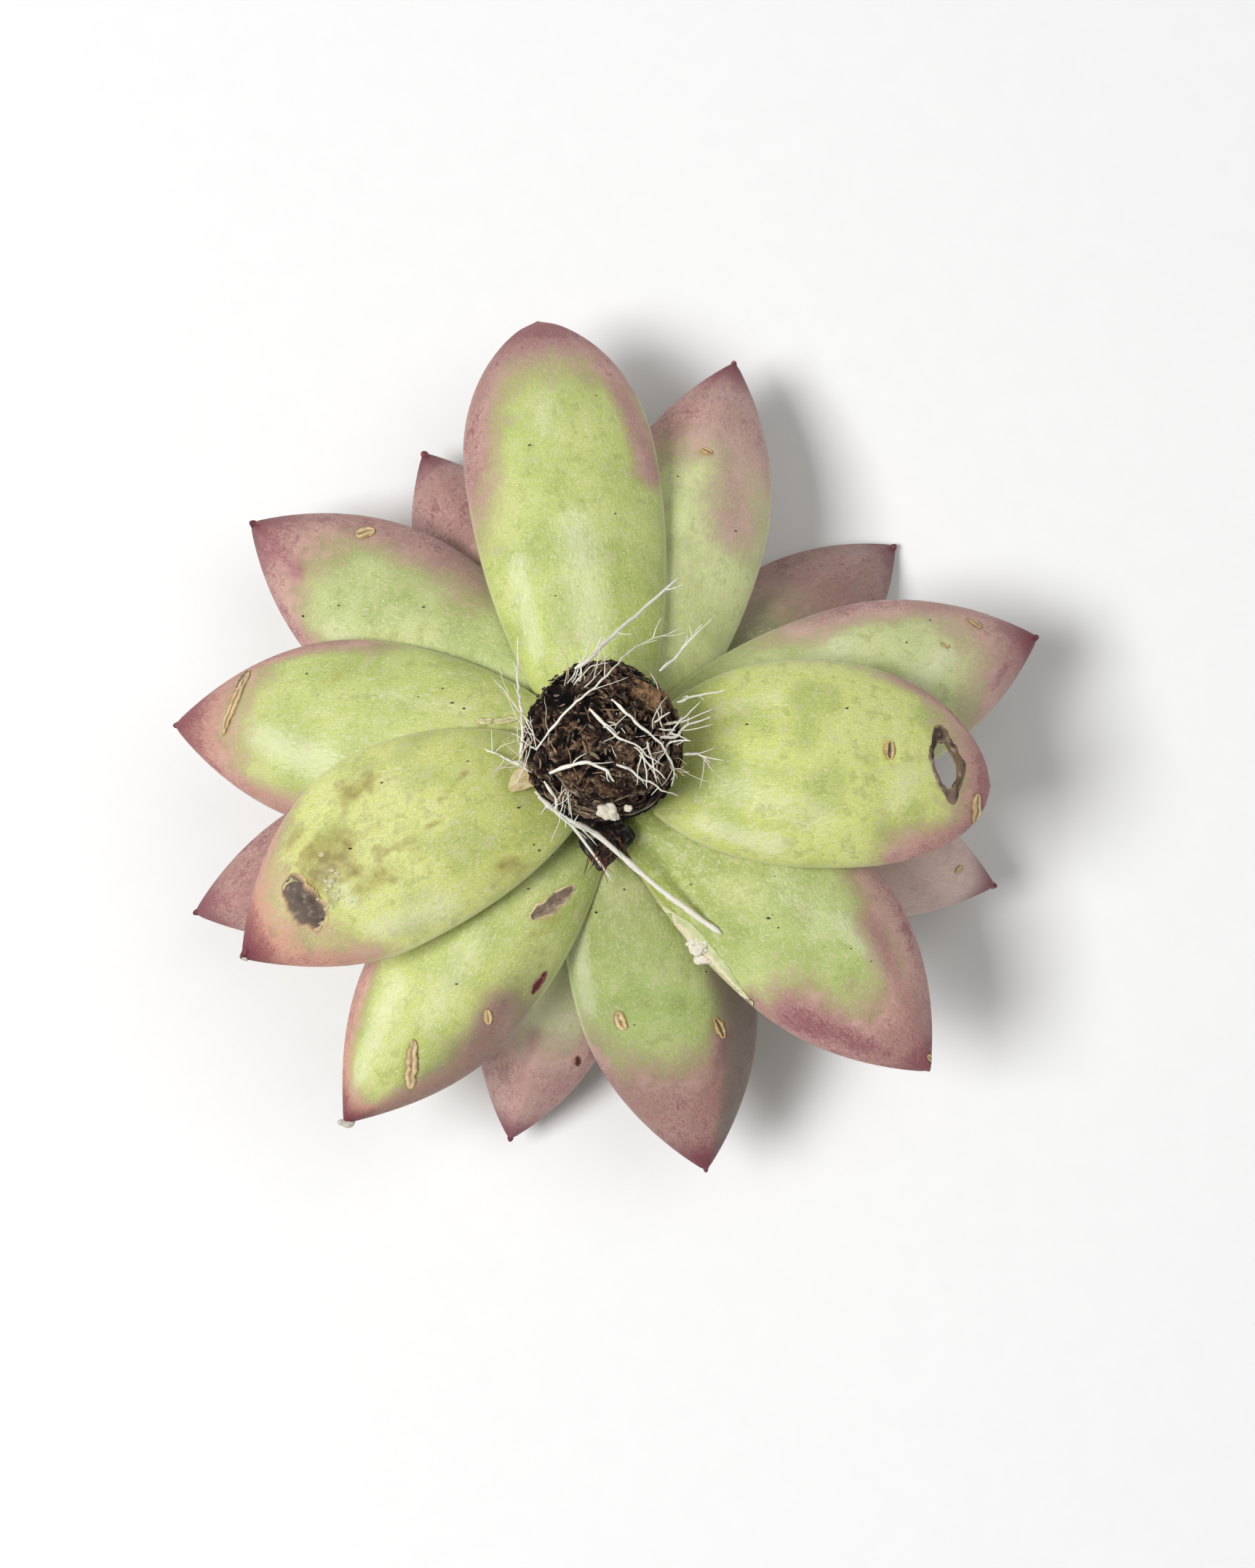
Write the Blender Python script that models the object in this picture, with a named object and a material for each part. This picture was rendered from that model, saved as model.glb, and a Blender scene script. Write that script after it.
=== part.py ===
"""A bare-root succulent rosette, lying face down on its leaf tips with its woody stem stub up.

Units are metres, +Z up. Driving dimensions below are in millimetres and degrees.
The leaves grow in one spiral, a golden angle apart, and are counted from the oldest.
Every leaf is a closed lens-shaped body: a UV sphere whose points are moved by leaf_point().
"""

import math
from typing import NamedTuple

import bmesh
import bpy
from mathutils import Euler, Vector

MM = 0.001
GOLDEN_ANGLE = 137.5

# Where the plant's axis stands, so that the origin is under the middle of the plant's box.
AXIS_X = -0.07
AXIS_Y = -4.46
REST_Z = 0.60

# The stem inside the rosette narrows from its neck to its growing tip.
NECK_Z = 37.5
NECK_RADIUS = 5.4
GROWING_TIP_Z = 12.5
GROWING_TIP_RADIUS = 0.7

# The leaves' attachment spiral.
OLDEST = -7
OLDEST_Z = 36.0
OUTER_RISE = 0.80
INNER_RISE = 0.80
INNER_FROM = 10
GAP = 0.35

# Leaf section and outline, as shares of the leaf's width, thickness and length.
BASE_SHARE = 0.40
BASE_CAP = 0.030
TIP_CAP = 0.020
HOLLOW = 0.15
LEAF_AROUND = 12
OUTER_RINGS = 13
INNER_RINGS = 10
BEND_STEPS = 16


class Leaf(NamedTuple):
    age: int  # place in the spiral, counted from the oldest
    azimuth: float  # degrees, anticlockwise from +X seen from above
    length: float  # mm along the midrib
    width: float  # mm at the widest
    start: float  # degrees that the leaf slopes down where it leaves the stem
    bend: float  # degrees that it turns further down on its way to the tip
    sweep: float = 0.0  # degrees that the tip swings round the axis
    widest: float = 0.52  # share of the length at which the leaf is widest
    fullness: float = 2.0  # how long the outer half keeps its width
    bluntness: float = 0.95  # 1 is a straight-sided point, less is a rounder tip
    thick: float = 7.0  # mm, back and front together


OUTER_LEAVES = (
    Leaf(-7, 197.0, 39.0, 21.8, -6, 22, sweep=10, thick=6.6, fullness=1.9, bluntness=0.95),
    Leaf(-6, 3.2, 37.4, 22.6, -7, 38, sweep=-5, thick=6.6, widest=0.44, fullness=2.4, bluntness=0.6),
    Leaf(-2, 170.0, 45.0, 21.2, 2, 22, sweep=3, thick=6.4),
    Leaf(-1, 323.5, 44.0, 20.4, 0, 22, sweep=-6, thick=6.8),
    Leaf(0, 98.9, 51.0, 21.6, 0, 34, widest=0.60, fullness=2.1, bluntness=0.68, thick=6.4),
    Leaf(1, 231.9, 45.0, 18.5, 3, 20, sweep=0.5, bluntness=1.05, thick=6.5),
    Leaf(2, 18.3, 48.5, 20.4, 5, 20, sweep=0.5),
    Leaf(3, 141.8, 49.5, 20.2, 9, 20, sweep=2, thick=6.4),
    Leaf(4, 285.0, 43.0, 20.2, 8, 20, sweep=-1, widest=0.48, thick=6.6),
    Leaf(5, 73.6, 50.0, 19.0, 9, 20, thick=6.5),
    Leaf(6, 197.0, 49.0, 17.2, 11, 18, thick=6.6),
    Leaf(7, 345.6, 45.0, 17.0, 13, 16),
    Leaf(8, 119.0, 46.0, 17.0, 17, 16),
    Leaf(9, 254.0, 43.5, 16.4, 19, 16),
    Leaf(10, 41.0, 47.5, 17.0, 22, 14),
)

# The inner leaves follow rules. Each pair is the value at the first and at the last inner leaf.
INNER_FIRST = 11
INNER_LAST = 26
INNER_LENGTH = (36.0, 9.0)
INNER_WIDTH = (17.0, 3.9)
INNER_START = (25.0, 80.0)
INNER_BEND = (17.0, 3.0)
INNER_THICK = (5.8, 0.95)
# Below 1, a value changes fastest at the outside and then levels off.
LENGTH_EASE = 0.65
WIDTH_EASE = 0.9
START_EASE = 0.85

# What an old leaf left behind on the stem.
DRIED_STUB = Leaf(-4, 268.5, 5.6, 6.2, -14, 16, widest=0.4, bluntness=0.6, thick=2.6)

# The woody knob at the end of the stem, which leans off the plant's axis.
KNOB_CENTRE = Vector((-0.6, 2.5, 43.8))
KNOB_RADIUS = 8.1
KNOB_HALF_HEIGHT = 6.4
STEM_AROUND = 20
STEM_RINGS = 24

# Things caught among the roots: their centres from the knob's centre and their sizes in mm,
# and their tilts in degrees.
SCALE_CENTRE = Vector((-8.5, -3.9, -3.0))
SCALE_SIZE = Vector((3.4, 2.6, 0.6))
SCALE_TILT = (12, -18, 35)
PERLITE_CENTRE = Vector((0.6, -7.6, 3.6))
PERLITE_SIZE = Vector((2.6, 1.9, 1.7))
PERLITE_TILT = (20, 10, -25)

# A hole that something ate through the second leaf, near its tip.
HOLED_LEAF_AGE = -6
HOLE_PLACE = (36.3, 0.7)
HOLE_SIZE = (2.7, 5.3)
HOLE_TURN = 12
HOLE_Z = 29.0
HOLE_DEPTH = 16.0


class Root(NamedTuple):
    radius: float  # mm
    route: tuple  # points in mm from the knob's centre, starting beside the knob


ROOTS = (
    Root(0.32, ((-6.7, -5.7, -1.8), (-4.4, -7.5, -3.2), (-0.4, -9.8, -4.8), (6.2, -15.3, -8), (12.9, -20.1, -10.6))),
    Root(0.26, ((-7.1, -5.1, -3), (-5, -7.1, -4.2), (-3, -9, -4.8), (0.9, -14.2, -7))),
    Root(0.26, ((-2.8, 7.1, 4.6), (-1.2, 8.3, 3.6), (0.9, 10.9, 0.2), (4.2, 14.3, -3.8), (8.2, 18.3, -7.3))),
    Root(0.20, ((-8.6, -2.2, 1.6), (-8.3, 0.7, 2.6), (-8.7, 4.7, -1.3), (-9, 7.5, -3.8), (-9.1, 11.8, -6.3))),
    Root(0.16, ((-6.8, -1.3, 4.5), (-3.9, 2.3, 6.8), (-1.4, 4.3, 7), (1, 6.9, 5.6), (3.6, 9.9, 0.2), (8.6, 12.5, -4.8))),
    Root(0.20, ((6, 7.3, 0.7), (8.6, 10.1, -2.3), (10.6, 12.8, -4.3))),
    Root(0.18, ((7.8, 3.9, 1.8), (9.8, 4.6, 0.6), (13, 5.4, -0.4))),
    Root(0.22, ((6, 0, 4.8), (7.6, 0.1, 3.6), (9, 1.4, 2), (11.4, 2.5, 0.8))),
    Root(0.18, ((8.5, -1.6, 1.4), (9.8, -1.4, 0), (11.4, -2.2, -1.4))),
    Root(0.26, ((-5.4, -3.7, 4.4), (-3.2, -2.9, 6.1), (-1.6, -2.7, 6.4), (0.4, -3.5, 6.2), (1.3, -4.7, 5.6))),
    Root(0.20, ((-6, -4.5, 3.4), (-5, -5.9, 2.4), (-4.6, -7.5, 0.2), (-2.8, -8.9, -2), (-0.2, -9.7, -2.8))),
    Root(0.20, ((-1.3, 2.7, 7.1), (0.3, 1, 7.1), (1.7, -0.3, 6.8), (3.4, -1, 6.2), (5, -2.3, 5.1))),
    Root(0.20, ((1, 3.7, 6.9), (2.4, 2.3, 7.2), (4.2, 0.7, 6.6), (6.2, -0.9, 5.2), (7.4, -3.3, 2.6), (7.2, -4.9, 0.8))),
    Root(0.18, ((1.5, -3, 6.5), (2.6, -3.4, 6.2), (4.2, -4.3, 5.1), (6.2, -5.3, 3.2), (8, -5.8, -0.2))),
    Root(0.20, ((-8.4, -2.7, -0.6), (-9.6, -1.9, -2.8), (-11, -1.1, -4.4), (-12.8, -0.3, -5.6))),
)
ROOT_SMOOTHING = 3

LEAF_GREEN = (0.55, 0.65, 0.28, 1.0)
BARK_BROWN = (0.10, 0.06, 0.035, 1.0)
DRIED_BROWN = (0.16, 0.07, 0.03, 1.0)
ROOT_CREAM = (0.80, 0.74, 0.60, 1.0)
PAPER_TAN = (0.72, 0.58, 0.36, 1.0)
PERLITE_WHITE = (0.80, 0.78, 0.70, 1.0)


def mix(a, b, share):
    return a + (b - a) * share


def attach_height(age):
    """Height on the stem, in mm, at which the leaf of this age is attached."""
    outer = min(age, INNER_FROM) - OLDEST
    inner = max(age - INNER_FROM, 0)
    return OLDEST_Z - OUTER_RISE * outer - INNER_RISE * inner


def stem_radius(height):
    """Radius in mm of the stem inside the rosette."""
    share = (NECK_Z - height) / (NECK_Z - GROWING_TIP_Z)
    return mix(NECK_RADIUS, GROWING_TIP_RADIUS, min(max(share, 0.0), 1.0) ** 1.2)


def inner_leaf(age):
    share = (age - INNER_FIRST) / (INNER_LAST - INNER_FIRST)
    last_outer = OUTER_LEAVES[-1]
    return Leaf(
        age,
        (last_outer.azimuth + GOLDEN_ANGLE * (age - last_outer.age)) % 360,
        mix(*INNER_LENGTH, share**LENGTH_EASE),
        mix(*INNER_WIDTH, share**WIDTH_EASE),
        mix(*INNER_START, share**START_EASE),
        mix(*INNER_BEND, share),
        thick=mix(*INNER_THICK, share),
    )


def half_width(leaf, u):
    """Half the leaf's width in mm at the share u of its length."""
    if u < leaf.widest:
        share = 1 - (1 - u / leaf.widest) ** 2.2
        outline = mix(BASE_SHARE, 1.0, share)
    else:
        share = (u - leaf.widest) / (1 - leaf.widest)
        outline = max(1 - share**leaf.fullness, 0.0) ** leaf.bluntness
    return leaf.width / 2 * max(outline, 0.04) * end_caps(u)


def end_caps(u):
    """Rounds both ends of the leaf: 0 at the ends and 1 a little way in."""
    base = min(u / BASE_CAP, 1.0)
    tip = min((1 - u) / TIP_CAP, 1.0)
    return math.sqrt(1 - (1 - base) ** 2) * math.sqrt(1 - (1 - tip) ** 2)


def half_thickness(leaf, u):
    """(back, front) thickness in mm from the midrib line at the share u of the length."""
    swell = math.sin(math.pi * u**0.8)
    back = leaf.thick * (0.16 + 0.48 * swell)
    front = leaf.thick * (0.10 + 0.14 * swell)
    point = min((1 - u) / 0.16, 1.0) ** 0.6
    return back * point * end_caps(u), front * point * end_caps(u)


def midrib(leaf, u):
    """(out, down, slope): the midrib's way from the stem in mm, and its slope in radians."""
    out = down = 0.0
    for step in range(BEND_STEPS):
        share = u * (step + 0.5) / BEND_STEPS
        slope = math.radians(leaf.start + leaf.bend * share**1.4)
        out += leaf.length * u / BEND_STEPS * math.cos(slope)
        down += leaf.length * u / BEND_STEPS * math.sin(slope)
    return out, down, math.radians(leaf.start + leaf.bend * u**1.4)


def leaf_point(leaf, u, around):
    """A point of the leaf's surface in mm: u runs along the midrib, around is the angle round it."""
    out, down, slope = midrib(leaf, u)
    foot = attach_height(leaf.age)
    back, front = half_thickness(leaf, u)
    across, rise = math.cos(around), math.sin(around)
    x = across * half_width(leaf, u)
    h = math.copysign(abs(rise) ** 1.3, rise) * (back if rise > 0 else front)
    h -= HOLLOW * leaf.width / 2 * across**2 * math.sin(math.pi * u)
    radius = stem_radius(foot) + GAP + out + h * math.sin(slope)
    height = foot - down + h * math.cos(slope)
    # The base wraps round the stem.
    curve = (1 - u) ** 3 / radius
    if curve * abs(x) > 1e-6:
        radius -= (1 - math.cos(curve * x)) / curve
        x = math.sin(curve * x) / curve
    turn = math.radians(leaf.azimuth + leaf.sweep * u * u)
    return Vector(
        (
            AXIS_X + radius * math.cos(turn) - x * math.sin(turn),
            AXIS_Y + radius * math.sin(turn) + x * math.cos(turn),
            REST_Z + height,
        )
    )


def finished(name, mesh, material, collection):
    mesh.materials.append(material)
    mesh.shade_smooth()
    obj = bpy.data.objects.new(name, mesh)
    collection.objects.link(obj)
    return obj


def sphere_mesh(name, around, rings, place):
    """A closed mesh: a UV sphere with each of its points moved to place(point) in mm."""
    shape = bmesh.new()
    bmesh.ops.create_uvsphere(shape, u_segments=around, v_segments=rings, radius=1.0)
    for vertex in shape.verts:
        vertex.co = place(vertex.co) * MM
    mesh = bpy.data.meshes.new(name)
    shape.to_mesh(mesh)
    shape.free()
    return mesh


def add_leaf(leaf, name, rings, material, collection):
    """The sphere's lower pole becomes the leaf's base, and its upper pole the tip."""

    def place(point):
        share = min(max((1 + point.z) / 2, 0.0), 1.0)
        return leaf_point(leaf, share, math.atan2(point.y, point.x))

    mesh = sphere_mesh(name, LEAF_AROUND, rings, place)
    return finished(name, mesh, material, collection)


def knob_radius(height):
    """Radius in mm of the woody knob at this height, or 0 above and below it."""
    share = (height - KNOB_CENTRE.z) / KNOB_HALF_HEIGHT
    return KNOB_RADIUS * math.sqrt(max(1 - share * share, 0.0))


def stem_point(point):
    """The stem's surface in mm, from its growing tip at the bottom to the knob's top."""
    share = min(max((1 + point.z) / 2, 0.0), 1.0)
    top = KNOB_CENTRE.z + KNOB_HALF_HEIGHT
    height = mix(GROWING_TIP_Z, top, share)
    around = math.atan2(point.y, point.x)
    lumps = 0.03 * math.sin(3 * around + 0.5 * height) + 0.02 * math.sin(7 * around - height)
    radius = stem_radius(height)
    if height > NECK_Z:
        radius = max(NECK_RADIUS if height < KNOB_CENTRE.z else 0.0, knob_radius(height))
        radius *= 1 + lumps
    if share in (0.0, 1.0):
        radius = 0.0
    lean = min(max(height - NECK_Z, 0.0) / (KNOB_CENTRE.z - NECK_Z), 1.0)
    return Vector(
        (
            AXIS_X + KNOB_CENTRE.x * lean + radius * math.cos(around),
            AXIS_Y + KNOB_CENTRE.y * lean + radius * math.sin(around),
            REST_Z + height,
        )
    )


def add_chip(name, centre, size, tilt, material, collection):
    """A small flat crumb: a coarse sphere, squashed and turned."""
    turn = Euler([math.radians(angle) for angle in tilt]).to_matrix()
    knob = Vector((AXIS_X, AXIS_Y, REST_Z)) + KNOB_CENTRE

    def place(point):
        return knob + centre + turn @ Vector(p * s / 2 for p, s in zip(point, size))

    return finished(name, sphere_mesh(name, 8, 6, place), material, collection)


def smooth_route(points, steps):
    """The points with steps - 1 more between each two, on a Catmull-Rom curve through them."""
    ends = [2 * points[0] - points[1], *points, 2 * points[-1] - points[-2]]
    route = []
    for a, b, c, d in zip(ends, ends[1:], ends[2:], ends[3:]):
        for step in range(steps):
            t = step / steps
            bend = (2 * a - 5 * b + 4 * c - d) * t * t + (3 * (b - c) + d - a) * t**3
            route.append(b + ((c - a) * t + bend) / 2)
    return [*route, points[-1]]


def add_root(root, name, material, collection):
    """A thin round root: a curve with a bevel that narrows towards its end."""
    knob = Vector((AXIS_X, AXIS_Y, REST_Z)) + KNOB_CENTRE
    route = smooth_route([Vector(point) for point in root.route], ROOT_SMOOTHING)
    curve = bpy.data.curves.new(name, "CURVE")
    curve.dimensions = "3D"
    curve.bevel_depth = root.radius * MM
    curve.bevel_resolution = 1
    curve.use_fill_caps = True
    spline = curve.splines.new("POLY")
    spline.points.add(len(route) - 1)
    for number, (place, point) in enumerate(zip(route, spline.points)):
        point.co = (*((knob + place) * MM), 1.0)
        point.radius = mix(1.0, 0.55, number / len(route))
    curve.materials.append(material)
    obj = bpy.data.objects.new(name, curve)
    collection.objects.link(obj)


def add_hole(leaf, cutters):
    """Cuts the eaten hole through the leaf with an oval post."""
    place = Vector((AXIS_X + HOLE_PLACE[0], AXIS_Y + HOLE_PLACE[1], REST_Z + HOLE_Z))
    post = bmesh.new()
    bmesh.ops.create_cone(
        post, cap_ends=True, segments=12, radius1=0.5, radius2=0.5, depth=1.0
    )
    mesh = bpy.data.meshes.new("hole_cutter")
    post.to_mesh(mesh)
    post.free()
    cutter = bpy.data.objects.new("hole_cutter", mesh)
    cutter.location = place * MM
    cutter.rotation_euler.z = math.radians(HOLE_TURN)
    cutter.scale = Vector((*HOLE_SIZE, HOLE_DEPTH)) * MM
    cutter.display_type = "WIRE"
    cutters.objects.link(cutter)
    cut = leaf.modifiers.new("eaten_hole", "BOOLEAN")
    cut.operation = "DIFFERENCE"
    cut.solver = "EXACT"
    cut.object = cutter


def make_material(name, colour, roughness):
    material = bpy.data.materials.new(name)
    material.use_nodes = True
    shader = material.node_tree.nodes["Principled BSDF"]
    shader.inputs["Base Color"].default_value = colour
    shader.inputs["Roughness"].default_value = roughness
    return material


def clear_scene():
    for obj in list(bpy.data.objects):
        bpy.data.objects.remove(obj)


def main():
    clear_scene()
    plant = bpy.data.collections.new("succulent_rosette")
    bpy.context.scene.collection.children.link(plant)
    cutters = bpy.data.collections.new("cutters")
    cutters.hide_render = True
    bpy.context.scene.collection.children.link(cutters)
    green = make_material("leaf_green", LEAF_GREEN, 0.5)
    bark = make_material("bark", BARK_BROWN, 0.9)
    dried = make_material("dried_leaf", DRIED_BROWN, 0.9)
    cream = make_material("root_cream", ROOT_CREAM, 0.7)
    paper = make_material("papery_scale", PAPER_TAN, 0.8)
    perlite = make_material("perlite", PERLITE_WHITE, 0.9)

    leaves = list(OUTER_LEAVES)
    leaves += [inner_leaf(age) for age in range(INNER_FIRST, INNER_LAST + 1)]
    for number, leaf in enumerate(leaves, start=1):
        rings = OUTER_RINGS if leaf.age < INNER_FIRST else INNER_RINGS
        made = add_leaf(leaf, f"leaf_{number:02d}", rings, green, plant)
        if leaf.age == HOLED_LEAF_AGE:
            add_hole(made, cutters)
    add_leaf(DRIED_STUB, "dried_leaf_stub", INNER_RINGS, dried, plant)
    stem = sphere_mesh("stem", STEM_AROUND, STEM_RINGS, stem_point)
    finished("stem", stem, bark, plant)
    for number, root in enumerate(ROOTS, start=1):
        add_root(root, f"root_{number:02d}", cream, plant)
    add_chip("papery_scale", SCALE_CENTRE, SCALE_SIZE, SCALE_TILT, paper, plant)
    add_chip("perlite_grain", PERLITE_CENTRE, PERLITE_SIZE, PERLITE_TILT, perlite, plant)


main()
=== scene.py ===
"""The looks of a bare-root succulent rosette, lying face down with its woody knob up.

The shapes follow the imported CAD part. Sizes are in millimetres and degrees unless a name
says otherwise. A place on a leaf is given along its midrib from the base and across it,
with positive values on the leaf's anticlockwise side as seen from above.
"""

import itertools
import math
from typing import NamedTuple

import bpy
import numpy as np
from mathutils import Euler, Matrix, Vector


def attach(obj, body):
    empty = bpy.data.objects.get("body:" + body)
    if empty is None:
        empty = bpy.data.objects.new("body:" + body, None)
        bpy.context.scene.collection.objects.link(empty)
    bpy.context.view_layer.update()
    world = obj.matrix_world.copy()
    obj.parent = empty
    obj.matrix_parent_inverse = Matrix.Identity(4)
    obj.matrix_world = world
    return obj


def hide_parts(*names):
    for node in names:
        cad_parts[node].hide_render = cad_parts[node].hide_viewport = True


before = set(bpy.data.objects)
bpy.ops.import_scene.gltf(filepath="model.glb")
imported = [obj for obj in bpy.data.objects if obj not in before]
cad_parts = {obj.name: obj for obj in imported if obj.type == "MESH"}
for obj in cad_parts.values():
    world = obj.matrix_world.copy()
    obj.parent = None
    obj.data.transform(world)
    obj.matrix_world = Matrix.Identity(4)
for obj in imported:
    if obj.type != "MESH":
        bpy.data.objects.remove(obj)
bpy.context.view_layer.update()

MM = 0.001
GOLDEN_ANGLE = 137.5

# The plant's frame, as in the CAD part.
AXIS = np.array([-0.07, -4.46, 0.6])
NECK_Z = 37.5
NECK_RADIUS = 5.4
GROWING_TIP_Z = 12.5
GROWING_TIP_RADIUS = 0.7
OLDEST = -7
OLDEST_Z = 36.0
RISE = 0.8
GAP = 0.35
BASE_SHARE = 0.4
BASE_CAP = 0.03
TIP_CAP = 0.02
HOLLOW = 0.15
BEND_STEPS = 16

# Rows along and columns round each leaf's mesh.
OUTER_GRID = (150, 112)
INNER_GRID = (56, 40)


class Leaf(NamedTuple):
    age: int
    azimuth: float
    length: float
    width: float
    start: float
    bend: float
    sweep: float = 0.0
    widest: float = 0.52
    fullness: float = 2.0
    bluntness: float = 0.95
    thick: float = 7.0


OUTER_LEAVES = (
    Leaf(-7, 197.0, 39.0, 21.8, -6, 22, sweep=10, thick=6.6, fullness=1.9, bluntness=0.95),
    Leaf(-6, 3.2, 37.4, 22.6, -7, 38, sweep=-5, thick=6.6, widest=0.44, fullness=2.4, bluntness=0.6),
    Leaf(-2, 170.0, 45.0, 21.2, 2, 22, sweep=3, thick=6.4),
    Leaf(-1, 323.5, 44.0, 20.4, 0, 22, sweep=-6, thick=6.8),
    Leaf(0, 98.9, 51.0, 21.6, 0, 34, widest=0.6, fullness=2.1, bluntness=0.68, thick=6.4),
    Leaf(1, 231.9, 45.0, 18.5, 3, 20, sweep=0.5, bluntness=1.05, thick=6.5),
    Leaf(2, 18.3, 48.5, 20.4, 5, 20, sweep=0.5),
    Leaf(3, 141.8, 49.5, 20.2, 9, 20, sweep=2, thick=6.4),
    Leaf(4, 285.0, 43.0, 20.2, 8, 20, sweep=-1, widest=0.48, thick=6.6),
    Leaf(5, 73.6, 50.0, 19.0, 9, 20, thick=6.5),
    Leaf(6, 197.0, 49.0, 17.2, 11, 18, thick=6.6),
    Leaf(7, 345.6, 45.0, 17.0, 13, 16),
    Leaf(8, 119.0, 46.0, 17.0, 17, 16),
    Leaf(9, 254.0, 43.5, 16.4, 19, 16),
    Leaf(10, 41.0, 47.5, 17.0, 22, 14),
)

# The hidden leaves go evenly from the first pair's value to the second, by age.
INNER_FIRST, INNER_LAST = 11, 26
INNER_LENGTH = (36.0, 9.0)
INNER_WIDTH = (17.0, 3.9)
INNER_START = (25.0, 80.0)
INNER_BEND = (17.0, 3.0)
INNER_THICK = (5.8, 0.95)
LENGTH_EASE = 0.65
WIDTH_EASE = 0.9
START_EASE = 0.85

DRIED_STUB = Leaf(-4, 268.5, 5.6, 6.2, -14, 16, widest=0.4, bluntness=0.6, thick=2.6)

KNOB = np.array([-0.6, 2.5, 43.8])
KNOB_RADIUS = 8.1
KNOB_HALF_HEIGHT = 6.4
TAN_PLACE = (5.0, 4.9, 3.0)  # the knob's bare patch, from its centre
TAN_RADIUS = 2.6


class Look(NamedTuple):
    """How a leaf is coloured. Blush starts are shares of its length, and widths are in mm."""

    flesh: str
    # base is the colour near the stem: the leaf's own yellow green, made darker in some looks as painted
    # shade among the crowded leaf bases.
    base: str
    tip: float
    left: tuple = (0.5, 2.5)  # where the blush of the margin starts, and its width
    right: tuple = (0.5, 2.5)
    warm: float = 0.1  # from mauve at 0 to orange pink at 1
    painted_shading: float = 0.0  # grey painted shade above 0, pale painted light below 0
    shade: tuple = (0.0, 0.0)  # painted shade: how much greyer it is towards the left and right margins
    keel: float = 0.25  # how roof-like the back is near the tip
    keel_at: float = 0.0  # the ridge's place, -1 to 1 across the leaf
    point: float = 1.0  # how dark the very tip is


# Some looks grey a leaf as painted shade and others pale a leaf that lies under its neighbours as painted
# light; INNER_LOOK gives the hidden leaves painted shade too.
LOOKS = {
    -7: Look("E2E58C", "CDD472", 0.81, (0.56, 3.0), (0.68, 2.2), warm=0.85, keel=0.2),
    -6: Look("DEE686", "D0DA70", 0.86, (0.58, 2.0), (0.58, 3.9), warm=0.3, keel=0.05, point=0),
    -2: Look("C8D47C", "CDD67A", 0.8, (0.46, 2.8), (0.44, 1.8), warm=0.45, keel=0.2, point=0.6),
    -1: Look(
        "C2D282", "A1AD46", 0.73, (0.42, 4.6), (0.52, 2.8), keel=0.45, keel_at=0.25, point=0.5
    ),
    0: Look("C9D67C", "CDDA74", 0.83, (0.44, 4.8), (0.66, 3.0), keel=0.05, point=0),
    1: Look(
        "CFD87C", "B9C672", 0.92, (0.44, 2.8), (0.46, 2.2), warm=0.8, shade=(0.6, 0.0), keel=0.2
    ),
    2: Look(
        "D4E09C", "C8D486", 0.79, (0.34, 3.4), (0.78, 2.4), warm=0.12, painted_shading=-0.1, keel=0.3,
        keel_at=-0.2
    ),
    3: Look(
        "C0CC88", "C1CF84", 0.76, (0.5, 2.6), (0.34, 5.4), warm=0.1, shade=(0.0, 0.25),
        keel=0.5, keel_at=0.28, point=0.6
    ),
    4: Look(
        "BED678", "9EAA42", 0.65, (0.26, 5.2), (0.5, 2.0), painted_shading=0.38, shade=(0.55, 0.0),
        keel=0.5, keel_at=0.5
    ),
    5: Look(
        "DCEA9C", "DAEA8C", 0.69, (0.42, 4.0), (0.72, 2.2), painted_shading=-0.16, shade=(0.2, 0.0),
        keel=0.35, keel_at=-0.05
    ),
    6: Look(
        "C2AE92", "B6B686", 0.4, (0.3, 5.0), (0.3, 3.0), painted_shading=0.08, keel=0.8, keel_at=0.2,
        point=0.6
    ),
    7: Look("DCC6B4", "B8AC90", 0.46, (0.3, 5.0), (0.3, 5.0), painted_shading=-0.32, keel=0.5),
    8: Look("C6BC9E", "B0B082", 0.54, (0.4, 5.0), (0.4, 3.0), painted_shading=0.06, keel=0.4),
    9: Look(
        "DADAB2", "CCD698", 0.64, (0.42, 4.0), (0.36, 3.0), painted_shading=-0.14, shade=(0.1, 0.0),
        keel=0.7, keel_at=0.1
    ),
    10: Look("A49C80", "A3A578", 0.55, (0.3, 5.0), (0.3, 4.0), painted_shading=0.45, keel=0.6, keel_at=0.2),
}
INNER_LOOK = Look("A9B578", "B4BE7C", 0.55, (0.35, 2.5), (0.35, 2.5), painted_shading=0.15, keel=0.3)


class Mark(NamedTuple):
    """A streak on a leaf's back, between two places given as shares along and across it."""

    age: int
    start: tuple
    end: tuple
    width: float  # half its width in mm
    amount: float
    pink: float = 0.0


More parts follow.
